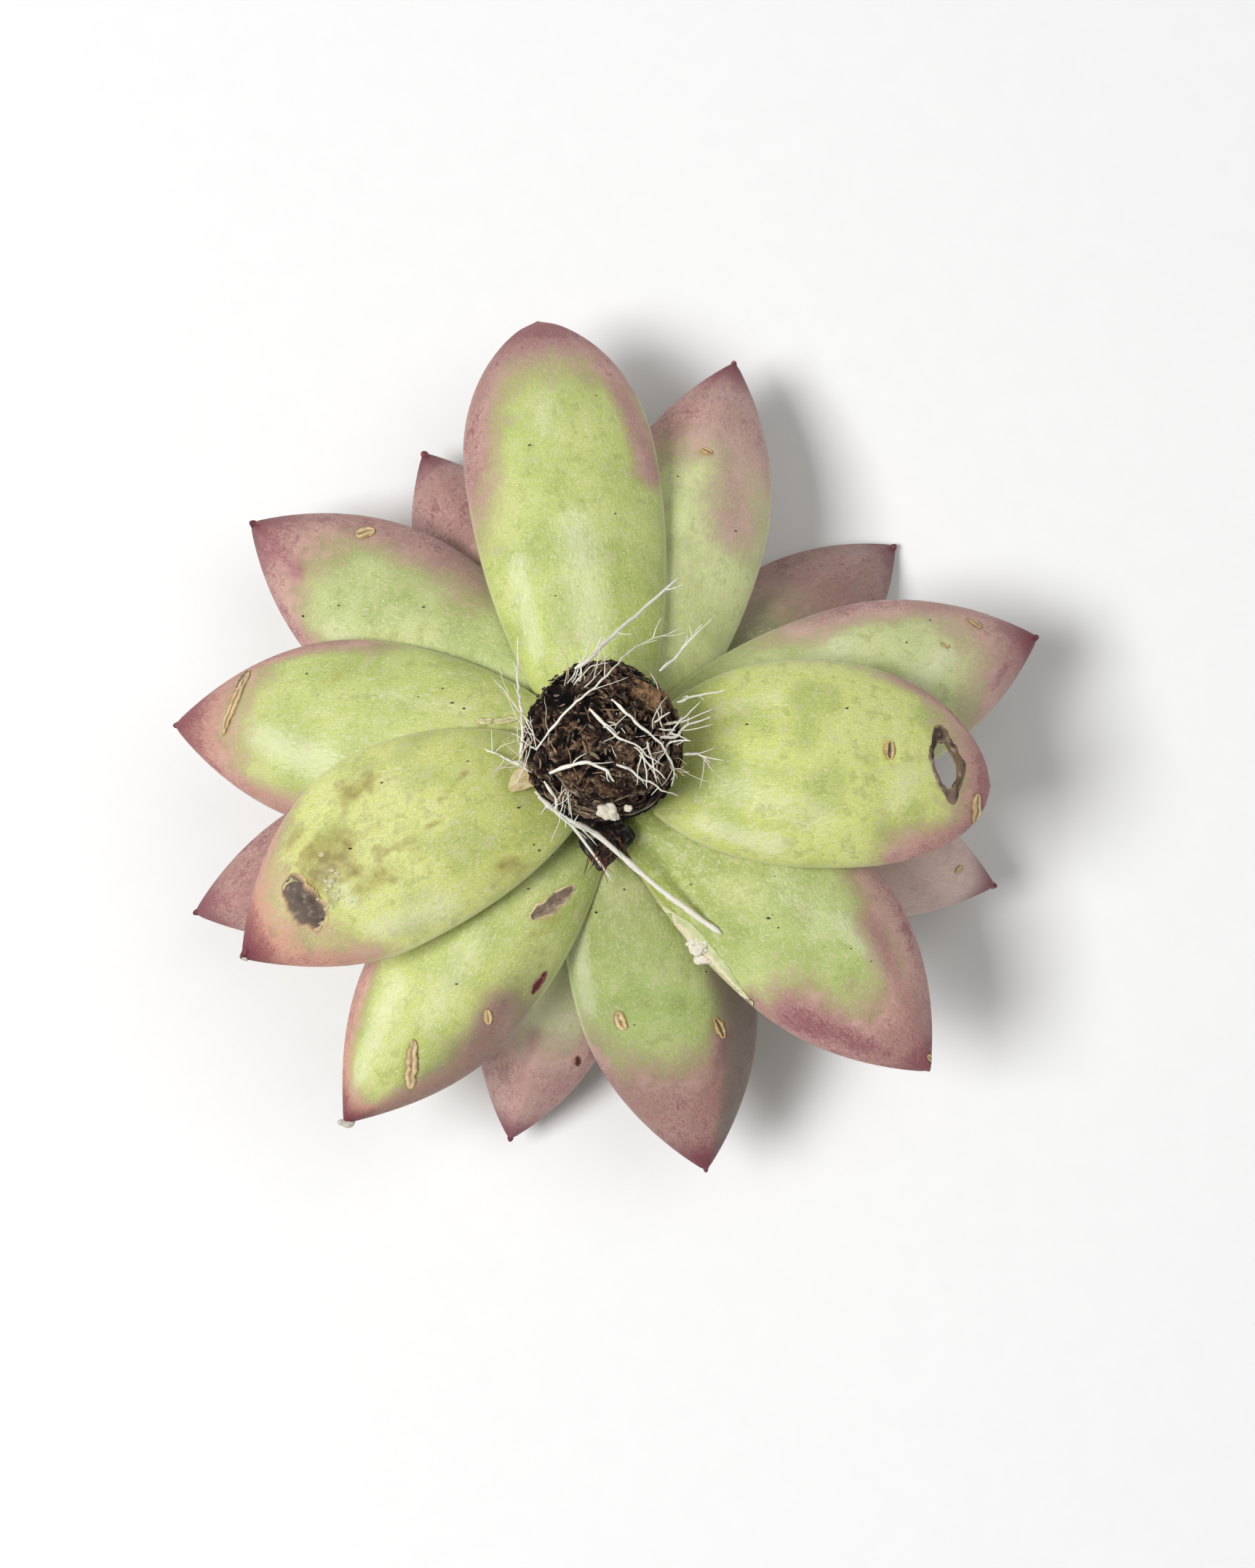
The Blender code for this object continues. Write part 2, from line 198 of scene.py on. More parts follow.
BLUSHES = (
    Mark(0, (0.86, -0.74), (0.55, -0.92), 1.9, 0.8, 0.1),
    Mark(0, (0.8, 0.86), (0.62, 0.96), 2.6, 0.9),
    Mark(3, (0.99, 0.3), (0.78, 0.32), 2.0, 0.9, 0.45),
    Mark(-1, (0.52, -0.98), (0.66, -0.98), 1.8, 0.8),
    Mark(-1, (0.62, -0.84), (0.92, -0.58), 4.3, 1.04, 0.08),
    Mark(-1, (0.62, 0.55), (0.97, 0.1), 2.4, 0.8, 0.18),
    Mark(6, (0.98, -0.5), (0.76, 0.22), 0.8, 0.85, 0.3),
    Mark(4, (0.94, 0.00), (0.62, 0.56), 2.2, 0.92, 0.22),
    Mark(9, (0.98, -0.2), (0.62, 0.00), 1.6, 0.8, 0.2),
    Mark(5, (0.8, -0.25), (0.55, -0.55), 3.8, 0.7),
    Mark(1, (0.66, 0.84), (0.5, 0.7), 2.3, 0.85),
    Mark(-7, (0.8, 0.1), (0.7, 0.85), 2.4, 0.5),
    Mark(-6, (0.92, 0.5), (0.93, -0.6), 3.0, 0.8),
    Mark(-6, (0.96, -0.1), (0.985, 0.05), 1.1, 1.05, 0.35),
    Mark(-6, (0.68, -0.95), (0.84, -0.8), 2.0, 0.8, 0.08),
    Mark(2, (0.95, -0.2), (0.84, -0.6), 2.6, 0.98, 0.14),
)
# Painted highlights: pale patches where light shines on the waxy skin.
PAINTED_HIGHLIGHTS = (
    Mark(-2, (0.72, 0.2), (0.55, 0.42), 2.6, 1.0),
    Mark(-2, (0.45, -0.4), (0.25, -0.45), 1.2, 0.5),
    Mark(-6, (0.15, -0.75), (0.33, -0.8), 1.6, 0.9),
    Mark(-6, (0.2, -0.3), (0.45, -0.55), 2.6, 0.6),
    Mark(-6, (0.66, -0.4), (0.7, -0.1), 2.0, 0.6),
    Mark(-6, (0.35, 0.6), (0.2, 0.6), 1.6, 0.6),
    Mark(2, (0.3, 0.3), (0.5, 0.55), 2.2, 0.7),
    Mark(2, (0.6, -0.2), (0.72, 0.1), 2.0, 0.8),
    Mark(-1, (0.55, 0.27), (0.7, 0.34), 1.6, 0.9),
    Mark(-1, (0.38, 0.2), (0.52, 0.1), 2.4, 0.5),
    Mark(0, (0.2, 0.72), (0.38, 0.62), 1.6, 0.9),
    Mark(0, (0.2, -0.1), (0.42, -0.05), 3.2, 0.8),
    Mark(0, (0.66, 0.1), (0.74, 0.05), 2.2, 0.5),
    Mark(4, (0.18, -0.8), (0.48, -0.86), 1.1, 1.0),
    Mark(5, (0.18, 0.2), (0.36, 0.1), 2.0, 0.9),
    Mark(1, (0.62, -0.45), (0.88, -0.35), 2.0, 0.9),
    Mark(1, (0.4, 0.00), (0.62, 0.1), 2.0, 0.6),
    Mark(3, (0.32, 0.55), (0.62, 0.6), 1.8, 0.7),
    Mark(-7, (0.4, 0.78), (0.6, 0.7), 1.8, 0.8),
    Mark(-7, (0.36, -0.55), (0.6, -0.7), 2.2, 0.4),
    Mark(-7, (0.67, -0.08), (0.63, 0.32), 1.2, 0.9),
    Mark(9, (0.35, -0.2), (0.6, -0.1), 2.0, 0.7),
)
STAINS = (
    Mark(-7, (0.66, 0.14), (0.34, 0.00), 0.35, 0.75),
    Mark(-7, (0.62, 0.38), (0.4, 0.28), 0.35, 0.65),
    Mark(-7, (0.66, -0.44), (0.58, -0.15), 0.9, 0.9),
    Mark(-7, (0.66, -0.08), (0.69, 0.05), 1.1, 1.0),
    Mark(-7, (0.58, -0.1), (0.42, 0.16), 0.8, 0.6),
    Mark(-7, (0.24, -0.45), (0.32, -0.2), 0.5, 0.6),
    Mark(-1, (0.32, 0.3), (0.34, 0.05), 0.22, 0.7),
    Mark(0, (0.16, -0.1), (0.18, 0.2), 0.8, 0.4),
)
CREASES = (
    Mark(-6, (0.2, 0.6), (0.15, -0.3), 0.8, 0.16),
    Mark(-6, (0.26, 0.6), (0.22, -0.45), 0.8, -0.14),
    Mark(-6, (0.6, 0.1), (0.66, -0.65), 1.2, -0.2),
    Mark(-7, (0.66, 0.14), (0.34, 0.00), 0.6, -0.14),
    Mark(-7, (0.62, 0.38), (0.4, 0.28), 0.6, -0.14),
    Mark(5, (0.55, 0.1), (0.15, 0.05), 1.6, 0.3),
    Mark(3, (0.35, 0.5), (0.8, 0.4), 1.8, 0.25),
    Mark(1, (0.3, -0.1), (0.6, -0.25), 1.6, 0.2),
    Mark(-2, (0.5, 0.4), (0.7, 0.25), 2.4, 0.25),
)


class Scar(NamedTuple):
    """A healed wound on a leaf's back."""

    age: int
    along: float
    across: float
    length: float
    width: float
    turn: float  # degrees from the midrib's direction towards the leaf's positive side
    kind: str
    blunt: float = 0.6  # 0.5 is an ellipse, more is a lens with pointed ends


SCARS = (
    Scar(-7, 29.5, 0.8, 7.2, 4.0, 107, "pit", blunt=0.42),
    Scar(-6, 24.0, 1.4, 2.0, 1.3, 85, "crater"),
    Scar(-6, 35.3, -3.1, 3.6, 1.7, 98, "corky"),
    Scar(-2, 37.0, -2.3, 7.8, 1.1, 80, "corky"),
    Scar(-2, 36.9, -5.0, 2.4, 1.5, 75, "sunken"),
    Scar(-1, 43.0, 0.9, 1.7, 0.8, 20, "corky"),
    Scar(1, 33.5, 2.4, 6.3, 1.5, 28, "corky"),
    Scar(1, 24.2, 5.9, 1.8, 1.0, 38, "corky"),
    Scar(1, 10.3, 3.9, 5.6, 1.9, -17, "sunken"),
    Scar(1, 18.3, 8.0, 3.0, 0.8, 6, "nick"),
    Scar(2, 40.5, 3.5, 1.9, 0.8, -55, "corky"),
    Scar(2, 35.5, 2.1, 1.0, 0.5, -50, "corky"),
    Scar(3, 35.6, -5.8, 2.2, 1.9, 50, "corky", blunt=0.45),
    Scar(4, 22.1, -5.6, 2.3, 1.5, 10, "corky", blunt=0.5),
    Scar(4, 25.4, 4.8, 2.8, 1.1, 12, "crater"),
    Scar(5, 34.9, 0.0, 1.5, 0.8, 74, "crater"),
    Scar(7, 38.4, 0.4, 1.5, 0.6, 41, "corky"),
    Scar(9, 29.9, 5.2, 1.6, 0.7, 15, "nick"),
    Scar(-2, 9.0, -3.1, 1.6, 0.9, 12, "flake", blunt=0.5),
    Scar(-2, 7.1, -3.6, 2.4, 0.9, 20, "flake", blunt=0.5),
)


class ScarKind(NamedTuple):
    middle: float  # height of the middle over the skin, in mm
    rim: float  # height of the rim
    slit: float  # half the width of the middle, as a share of the scar's half width
    dark: str
    body: str
    edge: str


SCAR_KINDS = {
    "corky": ScarKind(0.02, 0.2, 0.2, "94724A", "E2CA9A", "A98B5A"),
    "crater": ScarKind(-0.12, 0.2, 0.3, "4A3322", "DDC492", "C39A50"),
    "sunken": ScarKind(-0.16, 0.16, 0.66, "8C7764", "A08A72", "E6D4AC"),
    "pit": ScarKind(-0.24, 0.18, 0.86, "6A5A50", "8A7666", "D8B88A"),
    "flake": ScarKind(0.1, 0.2, 0.25, "CDC488", "ECE6B4", "CFC988"),
    "nick": ScarKind(-0.1, 0.08, 0.55, "5A1E28", "7C3638", "9A6A50"),
}

# Bruises: leaf age, along, across, radius along, radius across, strength.
BRUISES = (
    (-7, 25.5, -1.5, 4.5, 4.0, 1.0),
    (-7, 22.0, 2.5, 5.0, 2.2, 0.75),
    (-7, 28.0, -5.5, 3.0, 1.8, 0.6),
    (-7, 20.4, -7.0, 4.0, 2.0, 0.75),
    (-7, 8.6, 7.0, 3.0, 2.0, 0.65),
    (-7, 20.5, -1.5, 6.5, 4.5, 0.45),
    (-2, 25.8, -6.0, 2.0, 2.2, 0.6),
    (-6, 24.0, 1.2, 1.8, 1.8, 0.5),
    (-6, 24.5, -4.5, 2.6, 3.0, 0.4),
    (0, 36.5, -4.0, 2.6, 3.4, 0.35),
    (1, 12.0, 4.6, 4.5, 2.2, 0.6),
    (-1, 10.0, 2.5, 3.0, 3.0, 0.45),
)

DENT = 0.34  # how deep a scar lies in the skin, in mm
UNDER_SKIN = -0.3  # the bottom of what lies on the skin
DARK_TIP = (0.6, 5.2)  # how far from the tip, in mm, its dark colour starts and stops to fade

TORN_LEAF_AGE = -1
TORN_ALONG = (8.8, 23.8)
TORN_WIDTH = 1.6
# Each curl of the torn margin: its place along, its share across and its radius.
TORN_CURLS = ((15.2, 0.94, 1.1), (16.3, 0.98, 0.85), (14.2, 0.96, 0.7))

SOIL_GRAINS = 58
# Each dry bit at a leaf's tip: the leaf's age, how far from its end, across, and its size.
TIP_BITS = ((1, 0.5, 0.4, 0.5), (1, 0.2, -0.2, 0.4), (-7, 0.3, 0.5, 0.25))
FLECKS = 26
FLECK_PLACE = (26.2, 1.2)  # along and across the oldest leaf

HOLED_LEAF_AGE = -6
HOLE_PLACE = (36.3, 0.7)
HOLE_SIZE = (2.7, 5.3)
HOLE_TURN = 12
HOLE_Z = 29.0
HOLE_DEPTH = 16.0
HOLE_CORNERS = 72


class Root(NamedTuple):
    radius: float
    route: tuple


ROOTS = (
    Root(0.32, ((-6.7, -5.7, -1.8), (-4.4, -7.5, -3.2), (-0.4, -9.8, -4.8), (6.2, -15.3, -8),
        (12.9, -20.1, -10.6))),
    Root(0.26, ((-7.1, -5.1, -3), (-5, -7.1, -4.2), (-3, -9, -4.8), (0.9, -14.2, -7))),
    Root(0.26, ((-2.8, 7.1, 4.6), (-1.2, 8.3, 3.6), (0.9, 10.9, 0.2), (4.2, 14.3, -3.8),
        (8.2, 18.3, -7.3))),
    Root(0.2, ((-8.6, -2.2, 1.6), (-8.3, 0.7, 2.6), (-8.7, 4.7, -1.3), (-9, 7.5, -3.8),
        (-9.1, 11.8, -6.3))),
    Root(0.16, ((-6.8, -1.3, 4.5), (-3.9, 2.3, 6.8), (-1.4, 4.3, 7), (1, 6.9, 5.6),
        (3.6, 9.9, 0.2), (8.6, 12.5, -4.8))),
    Root(0.2, ((6, 7.3, 0.7), (8.6, 10.1, -2.3), (10.6, 12.8, -4.3))),
    Root(0.18, ((7.8, 3.9, 1.8), (9.8, 4.6, 0.6), (13, 5.4, -0.4))),
    Root(0.22, ((6, 0, 4.8), (7.6, 0.1, 3.6), (9, 1.4, 2), (11.4, 2.5, 0.8))),
    Root(0.18, ((8.5, -1.6, 1.4), (9.8, -1.4, 0), (11.4, -2.2, -1.4))),
    Root(0.26, ((-5.4, -3.7, 4.4), (-3.2, -2.9, 6.1), (-1.6, -2.7, 6.4), (0.4, -3.5, 6.2),
        (1.3, -4.7, 5.6))),
    Root(0.2, ((-6, -4.5, 3.4), (-5, -5.9, 2.4), (-4.6, -7.5, 0.2), (-2.8, -8.9, -2),
        (-0.2, -9.7, -2.8))),
    Root(0.2, ((-1.3, 2.7, 7.1), (0.3, 1, 7.1), (1.7, -0.3, 6.8), (3.4, -1, 6.2), (5, -2.3, 5.1))),
    Root(0.2, ((1, 3.7, 6.9), (2.4, 2.3, 7.2), (4.2, 0.7, 6.6), (6.2, -0.9, 5.2),
        (7.4, -3.3, 2.6), (7.2, -4.9, 0.8))),
    Root(0.18, ((1.5, -3, 6.5), (2.6, -3.4, 6.2), (4.2, -4.3, 5.1), (6.2, -5.3, 3.2),
        (8, -5.8, -0.2))),
    Root(0.2, ((-8.4, -2.7, -0.6), (-9.6, -1.9, -2.8), (-11, -1.1, -4.4), (-12.8, -0.3, -5.6))),
)


class Tuft(NamedTuple):
    """A bunch of fine root hairs, from the knob's centre."""

    start: tuple
    spread: float  # mm round the start
    way: tuple
    fan: float  # how far the hairs part from each other
    count: int
    length: tuple
    radius: float


TUFTS = (
    Tuft((-7.6, -1.0, 3.4), 1.8, (-0.3, 0.9, 0.5), 0.6, 10, (3.0, 7.0), 0.085),
    Tuft((-7.8, 1.6, 2.4), 1.4, (0.2, -0.9, 0.4), 0.5, 8, (3.0, 6.5), 0.08),
    Tuft((-8.2, -3.6, 0.6), 1.2, (-1.0, 0.7, 0.4), 0.5, 9, (2.5, 5.5), 0.1),
    Tuft((-3.2, 6.6, 5.0), 2.2, (0.6, 1.0, 0.5), 0.4, 18, (2.5, 5.5), 0.09),
    Tuft((6.6, 0.6, 4.4), 1.4, (0.6, 0.5, 0.4), 0.9, 10, (2.5, 5.0), 0.11),
    Tuft((5.2, -1.0, 5.4), 1.8, (0.1, -0.9, 0.4), 1.0, 11, (2.5, 5.0), 0.115),
    Tuft((6.8, -1.2, 3.6), 1.2, (-0.7, 0.2, 0.5), 0.9, 8, (2.5, 5.0), 0.105),
    Tuft((-3.7, -5.2, 4.2), 0.8, (-0.1, -1.0, -0.5), 0.3, 14, (2.5, 4.6), 0.06),
    Tuft((7.6, -3.0, 2.2), 1.2, (1.0, -0.5, 0.1), 0.8, 5, (2.0, 3.5), 0.08),
    Tuft((1.8, 0.5, 6.9), 2.4, (0.3, -0.5, 0.4), 1.1, 9, (2.0, 4.0), 0.08),
)

SCALE_CENTRE = np.array([-8.5, -3.9, -3.0])
SCALE_SIZE = np.array([3.4, 2.6, 0.6])
SCALE_TILT = (12, -18, 35)
PERLITE_CENTRE = np.array([0.6, -7.6, 3.6])
PERLITE_SIZE = np.array([2.6, 1.9, 1.7])
PERLITE_TILT = (20, 10, -25)
# The way that each of its flat faces looks.
PERLITE_CUTS = np.array(
    [
        [1.0, 0.3, 0.4],
        [-0.6, 0.9, 0.5],
        [-0.7, -0.6, 0.6],
        [0.4, -1.0, 0.2],
        [0.1, 0.2, 1.0],
        [0.8, 0.7, -0.3],
        [-1.0, 0.1, -0.4],
    ]
)

CAMERA_TARGET = Vector((1.96, -5.35, 28.0)) * MM
CAMERA_DISTANCE = 340 * MM
CAMERA_ELEVATION = 86
CAMERA_SENSOR = 24.0
CAMERA_LENS = CAMERA_SENSOR * 4250 / 2156

FLOOR_SIZE = 4000
# How strong the world's light is by height, from the horizon at 0 to overhead at 1.
SKY = ((0.0, 0.66), (0.22, 0.6), (0.45, 0.1), (1.0, 0.38))


# Numbers -------------------------------------------------------------------------------


def mix(a, b, share):
    return a + (b - a) * share


def ease(low, high, value):
    """0 below low, 1 above high, and smooth between."""
    share = np.clip((value - low) / (high - low), 0.0, 1.0)
    return share * share * (3 - 2 * share)


def stack(*parts):
    """Points, from a number or an array for each axis."""
    return np.stack(np.broadcast_arrays(*parts), -1)


def noise(points, size, seed=0):
    """Smooth noise from -1 to 1, with lumps of about this size."""
    cell = np.asarray(points, float) / size + 0.37 * seed
    corner = np.floor(cell).astype(np.int64)
    part = cell - corner
    part = part**3 * (part * (part * 6 - 15) + 10)
    total = 0.0
    for step in itertools.product((0, 1), repeat=3):
        x, y, z = np.moveaxis(corner + step, -1, 0)
        mixed = (x * 73856093) ^ (y * 19349663) ^ (z * 83492791) ^ (seed * 2654435761)
        mixed = (mixed ^ (mixed >> 13)) * 1274126177
        value = ((mixed ^ (mixed >> 16)) & 0xFFFF) / 32767.5 - 1
        total = total + value * np.prod(np.where(step, part, 1 - part), axis=-1)
    return total


def fractal(points, size, seed=0, octaves=3):
    return sum(noise(points, size / 2**k, seed + k) / 2**k for k in range(octaves))


def tone(points, size, seed):
    """Smooth noise from 0 to 1."""
    return 0.5 + 0.5 * noise(points, size, seed)


def wander(points, size, seed, gap=1):
    """A vector of smooth noise for each point."""
    return stack(*(noise(points, size, seed + gap * k) for k in range(3)))


def colour(code):
    """A linear colour from its sRGB hex code."""
    values = [int(code[i : i + 2], 16) / 255 for i in (0, 2, 4)]
    return np.array([v / 12.92 if v <= 0.04045 else ((v + 0.055) / 1.055) ** 2.4 for v in values])


def rgba(code):
    return (*colour(code), 1.0)


def blend(a, b, share):
    """The colours between a and b, which are hex codes or arrays, at each share."""
    a, b = (colour(c) if isinstance(c, str) else c for c in (a, b))
    return mix(a, b, np.asarray(share)[..., None])


# Leaves --------------------------------------------------------------------------------


def inner_leaf(age):
    share = (age - INNER_FIRST) / (INNER_LAST - INNER_FIRST)
    last = OUTER_LEAVES[-1]
    return Leaf(
        age,
        (last.azimuth + GOLDEN_ANGLE * (age - last.age)) % 360,
        mix(*INNER_LENGTH, share**LENGTH_EASE),
        mix(*INNER_WIDTH, share**WIDTH_EASE),
        mix(*INNER_START, share**START_EASE),
        mix(*INNER_BEND, share),
        thick=mix(*INNER_THICK, share),
    )


def stem_radius(height):
    share = np.clip((NECK_Z - height) / (NECK_Z - GROWING_TIP_Z), 0.0, 1.0)
    return mix(NECK_RADIUS, GROWING_TIP_RADIUS, share**1.2)


def end_caps(u):
    base = np.minimum(u / BASE_CAP, 1.0)
    tip = np.minimum((1 - u) / TIP_CAP, 1.0)
    return np.sqrt(1 - (1 - base) ** 2) * np.sqrt(1 - (1 - tip) ** 2)


def half_width(leaf, u):
    inside = mix(BASE_SHARE, 1.0, 1 - np.abs(1 - u / leaf.widest) ** 2.2)
    share = np.clip((u - leaf.widest) / (1 - leaf.widest), 0.0, 1.0)
    outside = np.maximum(1 - share**leaf.fullness, 0.0) ** leaf.bluntness
    outline = np.where(u < leaf.widest, inside, outside)
    return leaf.width / 2 * np.maximum(outline, 0.04) * end_caps(u)


def scar_place(scar, along, across):
    """A place on the leaf as (x, y) in the scar, -1 to 1 along and across it."""
    turn = math.radians(scar.turn)
    dx, dy = along - scar.along, across - scar.across
    return (
        (dx * math.cos(turn) + dy * math.sin(turn)) / (scar.length / 2),
        (dy * math.cos(turn) - dx * math.sin(turn)) / (scar.width / 2),
    )


def dents(leaf, along, across):
    """How deep, in mm, the skin lies below its scars."""
    depth = 0.0
    for scar in SCARS:
        if scar.age == leaf.age:
            x, y = scar_place(scar, along, across)
            depth = depth + DENT * np.exp(-6.4 * np.maximum(x * x + y * y - 0.5, 0) ** 2)
    return depth


def marked(marks, leaf, u, across_share):
    """Two shares for each place: how strong the marks are there, and how pink."""
    along, across = u * leaf.length, across_share * leaf.width / 2
    size = np.array([leaf.length, leaf.width / 2])
    amount, pink = 0 * along, 0 * along
    for mark in marks:
        if mark.age == leaf.age:
            (ax, ay), (bx, by) = mark.start * size, mark.end * size
            dx, dy = bx - ax, by - ay
            share = np.clip(((along - ax) * dx + (across - ay) * dy) / (dx * dx + dy * dy), 0, 1)
            gap = np.hypot(along - ax - share * dx, across - ay - share * dy)
            near = np.exp(-((gap / mark.width) ** 2)) * mark.amount
            amount = np.where(np.abs(near) > np.abs(amount), near, amount)
            pink = np.maximum(pink, near * mark.pink)
    return amount, pink


def relief(leaf, u, across_share, side, dented=True):
    """The skin's unevenness in mm over the smooth leaf."""
    along, across = u * leaf.length, across_share * half_width(leaf, u)
    place = stack(along, across, 9.0 * np.sign(side) + 31.0 * leaf.age)
    lumps = 0.22 * noise(place, 9.0, 3) + 0.1 * noise(place, 3.6, 4)
    fibres = 0.03 * noise(place / (3.5, 1.0, 1.0), 0.9, 5)
    folds = marked(CREASES, leaf, u, across_share)[0]
    if dented:
        folds = folds - dents(leaf, along, across)
    return (lumps + fibres + folds * (side > 0)) * np.abs(side) ** 0.5 * end_caps(u)


def leaf_points(leaf, u, around, lift=0.0, dented=True):
    """Surface points in mm: u runs along the midrib, around is the angle round it."""
    look = LOOKS.get(leaf.age, INNER_LOOK)
    steps = (np.arange(BEND_STEPS) + 0.5) / BEND_STEPS
    slopes = np.radians(leaf.start + leaf.bend * (u[..., None] * steps) ** 1.4)
    out = leaf.length * u * np.cos(slopes).mean(-1)
    down = leaf.length * u * np.sin(slopes).mean(-1)
    slope = np.radians(leaf.start + leaf.bend * u**1.4)
    foot = OLDEST_Z - RISE * (leaf.age - OLDEST)
    swell = np.sin(np.pi * u**0.8)
    point = np.minimum((1 - u) / 0.16, 1.0) ** 0.6 * end_caps(u)
    back = leaf.thick * (0.16 + 0.48 * swell) * point
    front = leaf.thick * (0.1 + 0.14 * swell) * point
    across, side = np.cos(around), np.sin(around)
    x = across * half_width(leaf, u)
    dome = np.abs(side) ** np.where(side > 0, 1.08, 1.3)
    apex = across - look.keel_at
    roof = 1 - np.abs(apex) / (1 - look.keel_at * np.sign(apex))
    ridged = look.keel * ease(0.25, 0.75, u) * (side > 0)
    h = np.sign(side) * mix(dome, roof, ridged) * np.where(side > 0, back, front)
    h = h - HOLLOW * leaf.width / 2 * across**2 * np.sin(np.pi * u)
    h = h + relief(leaf, u, across, side, dented) + lift
    radius = stem_radius(foot) + GAP + out + h * np.sin(slope)
    height = foot - down + h * np.cos(slope)
    # The leaf's base curves round the stem.
    curve = (1 - u) ** 3 / radius
    curve = np.where(np.abs(curve * x) > 1e-6, curve, 1e-9)
    radius = radius - (1 - np.cos(curve * x)) / curve
    x = np.sin(curve * x) / curve
    turn = np.radians(leaf.azimuth + leaf.sweep * u * u)
    east = radius * np.cos(turn) - x * np.sin(turn)
    north = radius * np.sin(turn) + x * np.cos(turn)
    return AXIS + stack(east, north, height)


def on_leaf(leaf, along, across, lift=0.0):
    """Points on the undented back of the leaf, lifted off it."""
    u = np.clip(along / leaf.length, 0.01, 0.995)
    share = np.clip(across / half_width(leaf, u), -0.999, 0.999)
    return leaf_points(leaf, u, np.arccos(share), lift, dented=False)


def spot_on_leaf(leaf, along, across, lift):
    """The same for one place."""
    return on_leaf(leaf, np.array([along]), np.array([across]), lift)[0]


def blush_of(leaf, look, u, across):
    """0 where the skin is green, up to 1 at the blushed tip and margins."""
    edge = half_width(leaf, u) - np.abs(across)
    tip = ease(look.tip - 0.14, look.tip + 0.14, u + 0.004 * np.abs(across))
    start = np.where(across > 0, look.left[0], look.right[0])
    width = np.where(across > 0, look.left[1], look.right[1])
    margin = ease(start - 0.1, start + 0.2, u) * (1 - ease(0.15 * width, 1.5 * width, edge))
    return 0.9 * np.maximum(tip, margin) + 0.25 * ease(0.84, 1.0, u)


def bruise_of(leaf, along, across):
    total = 0.0 * along
    for age, middle, offset, reach, width, strength in BRUISES:
        if age == leaf.age:
            spread = ((along - middle) / reach) ** 2 + ((across - offset) / width) ** 2
            total = np.maximum(total, strength * np.exp(-0.9 * spread))
    return total


# Meshes --------------------------------------------------------------------------------


class Body(NamedTuple):
    """A closed mesh in mm, with values for each point."""

    points: np.ndarray
    faces: list
    values: dict


def sphere_grid(rows, columns):
    """Shares along and angles round a closed body: a pole, rings of points, and a pole."""
    even = np.arange(1, rows) / rows
    along = 0.45 * even + 0.55 * (1 - np.cos(np.pi * even)) / 2
    angles = np.arange(columns) * 2 * np.pi / columns
    u = np.concatenate([[0.0], np.repeat(along, columns), [1.0]])
    around = np.concatenate([[0.0], np.tile(angles, rows - 1), [0.0]])
    return u, around


def sphere_faces(rows, columns):
    """The faces of sphere_grid, turned outwards."""
    last = 1 + (rows - 1) * columns
    sides = [(j, (j + 1) % columns) for j in range(columns)]
    faces = [(0, 1 + b, 1 + a) for a, b in sides]
    for k in range(rows - 2):
        low, high = 1 + k * columns, 1 + (k + 1) * columns
        faces += [(low + a, low + b, high + b, high + a) for a, b in sides]
    return faces + [(last - columns + a, last - columns + b, last) for a, b in sides]


def ball_grid(rows, columns):
    """The points of sphere_grid on a ball of radius 1."""
    share, around = sphere_grid(rows, columns)
    z = 2 * share - 1
    flat = np.sqrt(np.maximum(1 - z * z, 0))
    return stack(flat * np.cos(around), flat * np.sin(around), z)


def shaded(points, rows, columns, shade):
    """A body on a sphere_grid, with one colour for all its points or one for each."""
    shade = np.broadcast_to(shade, points.shape)
    return Body(points, sphere_faces(rows, columns), {"shade": shade, "place": points})


def joined(bodies):
    """Several bodies as one."""
    bodies, faces, total = list(bodies), [], 0
    for body in bodies:
        faces += [tuple(total + corner for corner in face) for face in body.faces]
        total += len(body.points)
    values = {key: np.concatenate([body.values[key] for body in bodies]) for key in bodies[0].values}
    return Body(np.concatenate([body.points for body in bodies]), faces, values)


def write_values(mesh, values):
    """Stores each array on the mesh's points: one number, or three, for each."""
    for name, array in values.items():
        kind, slot = ("FLOAT", "value") if array.ndim == 1 else ("FLOAT_VECTOR", "vector")
        attribute = mesh.attributes.get(name) or mesh.attributes.new(name, kind, "POINT")
        attribute.data.foreach_set(slot, np.ascontiguousarray(array, np.float32).ravel())


def new_mesh(name, points, faces):
    """A mesh from points in mm."""
    mesh = bpy.data.meshes.new(name)
    mesh.from_pydata((np.asarray(points) * MM).tolist(), [], faces)
    return mesh


def add_object(name, data):
    made = bpy.data.objects.new(name, data)
    bpy.context.scene.collection.objects.link(made)
    return made


def add_piece(name, body, material, slot, *replaced):
    """Makes a piece from one body or more, hangs it under the root body, and hides the parts that it
    replaces.
    """
    body = body if isinstance(body, Body) else joined(body)
    mesh = new_mesh(name, body.points, body.faces)
    write_values(mesh, body.values)
    mesh.materials.append(material)
    mesh.shade_smooth()
    mesh.update()
    piece = add_object(name, mesh)
    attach(piece, "root")
    if replaced:
        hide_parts(*replaced)
    return piece


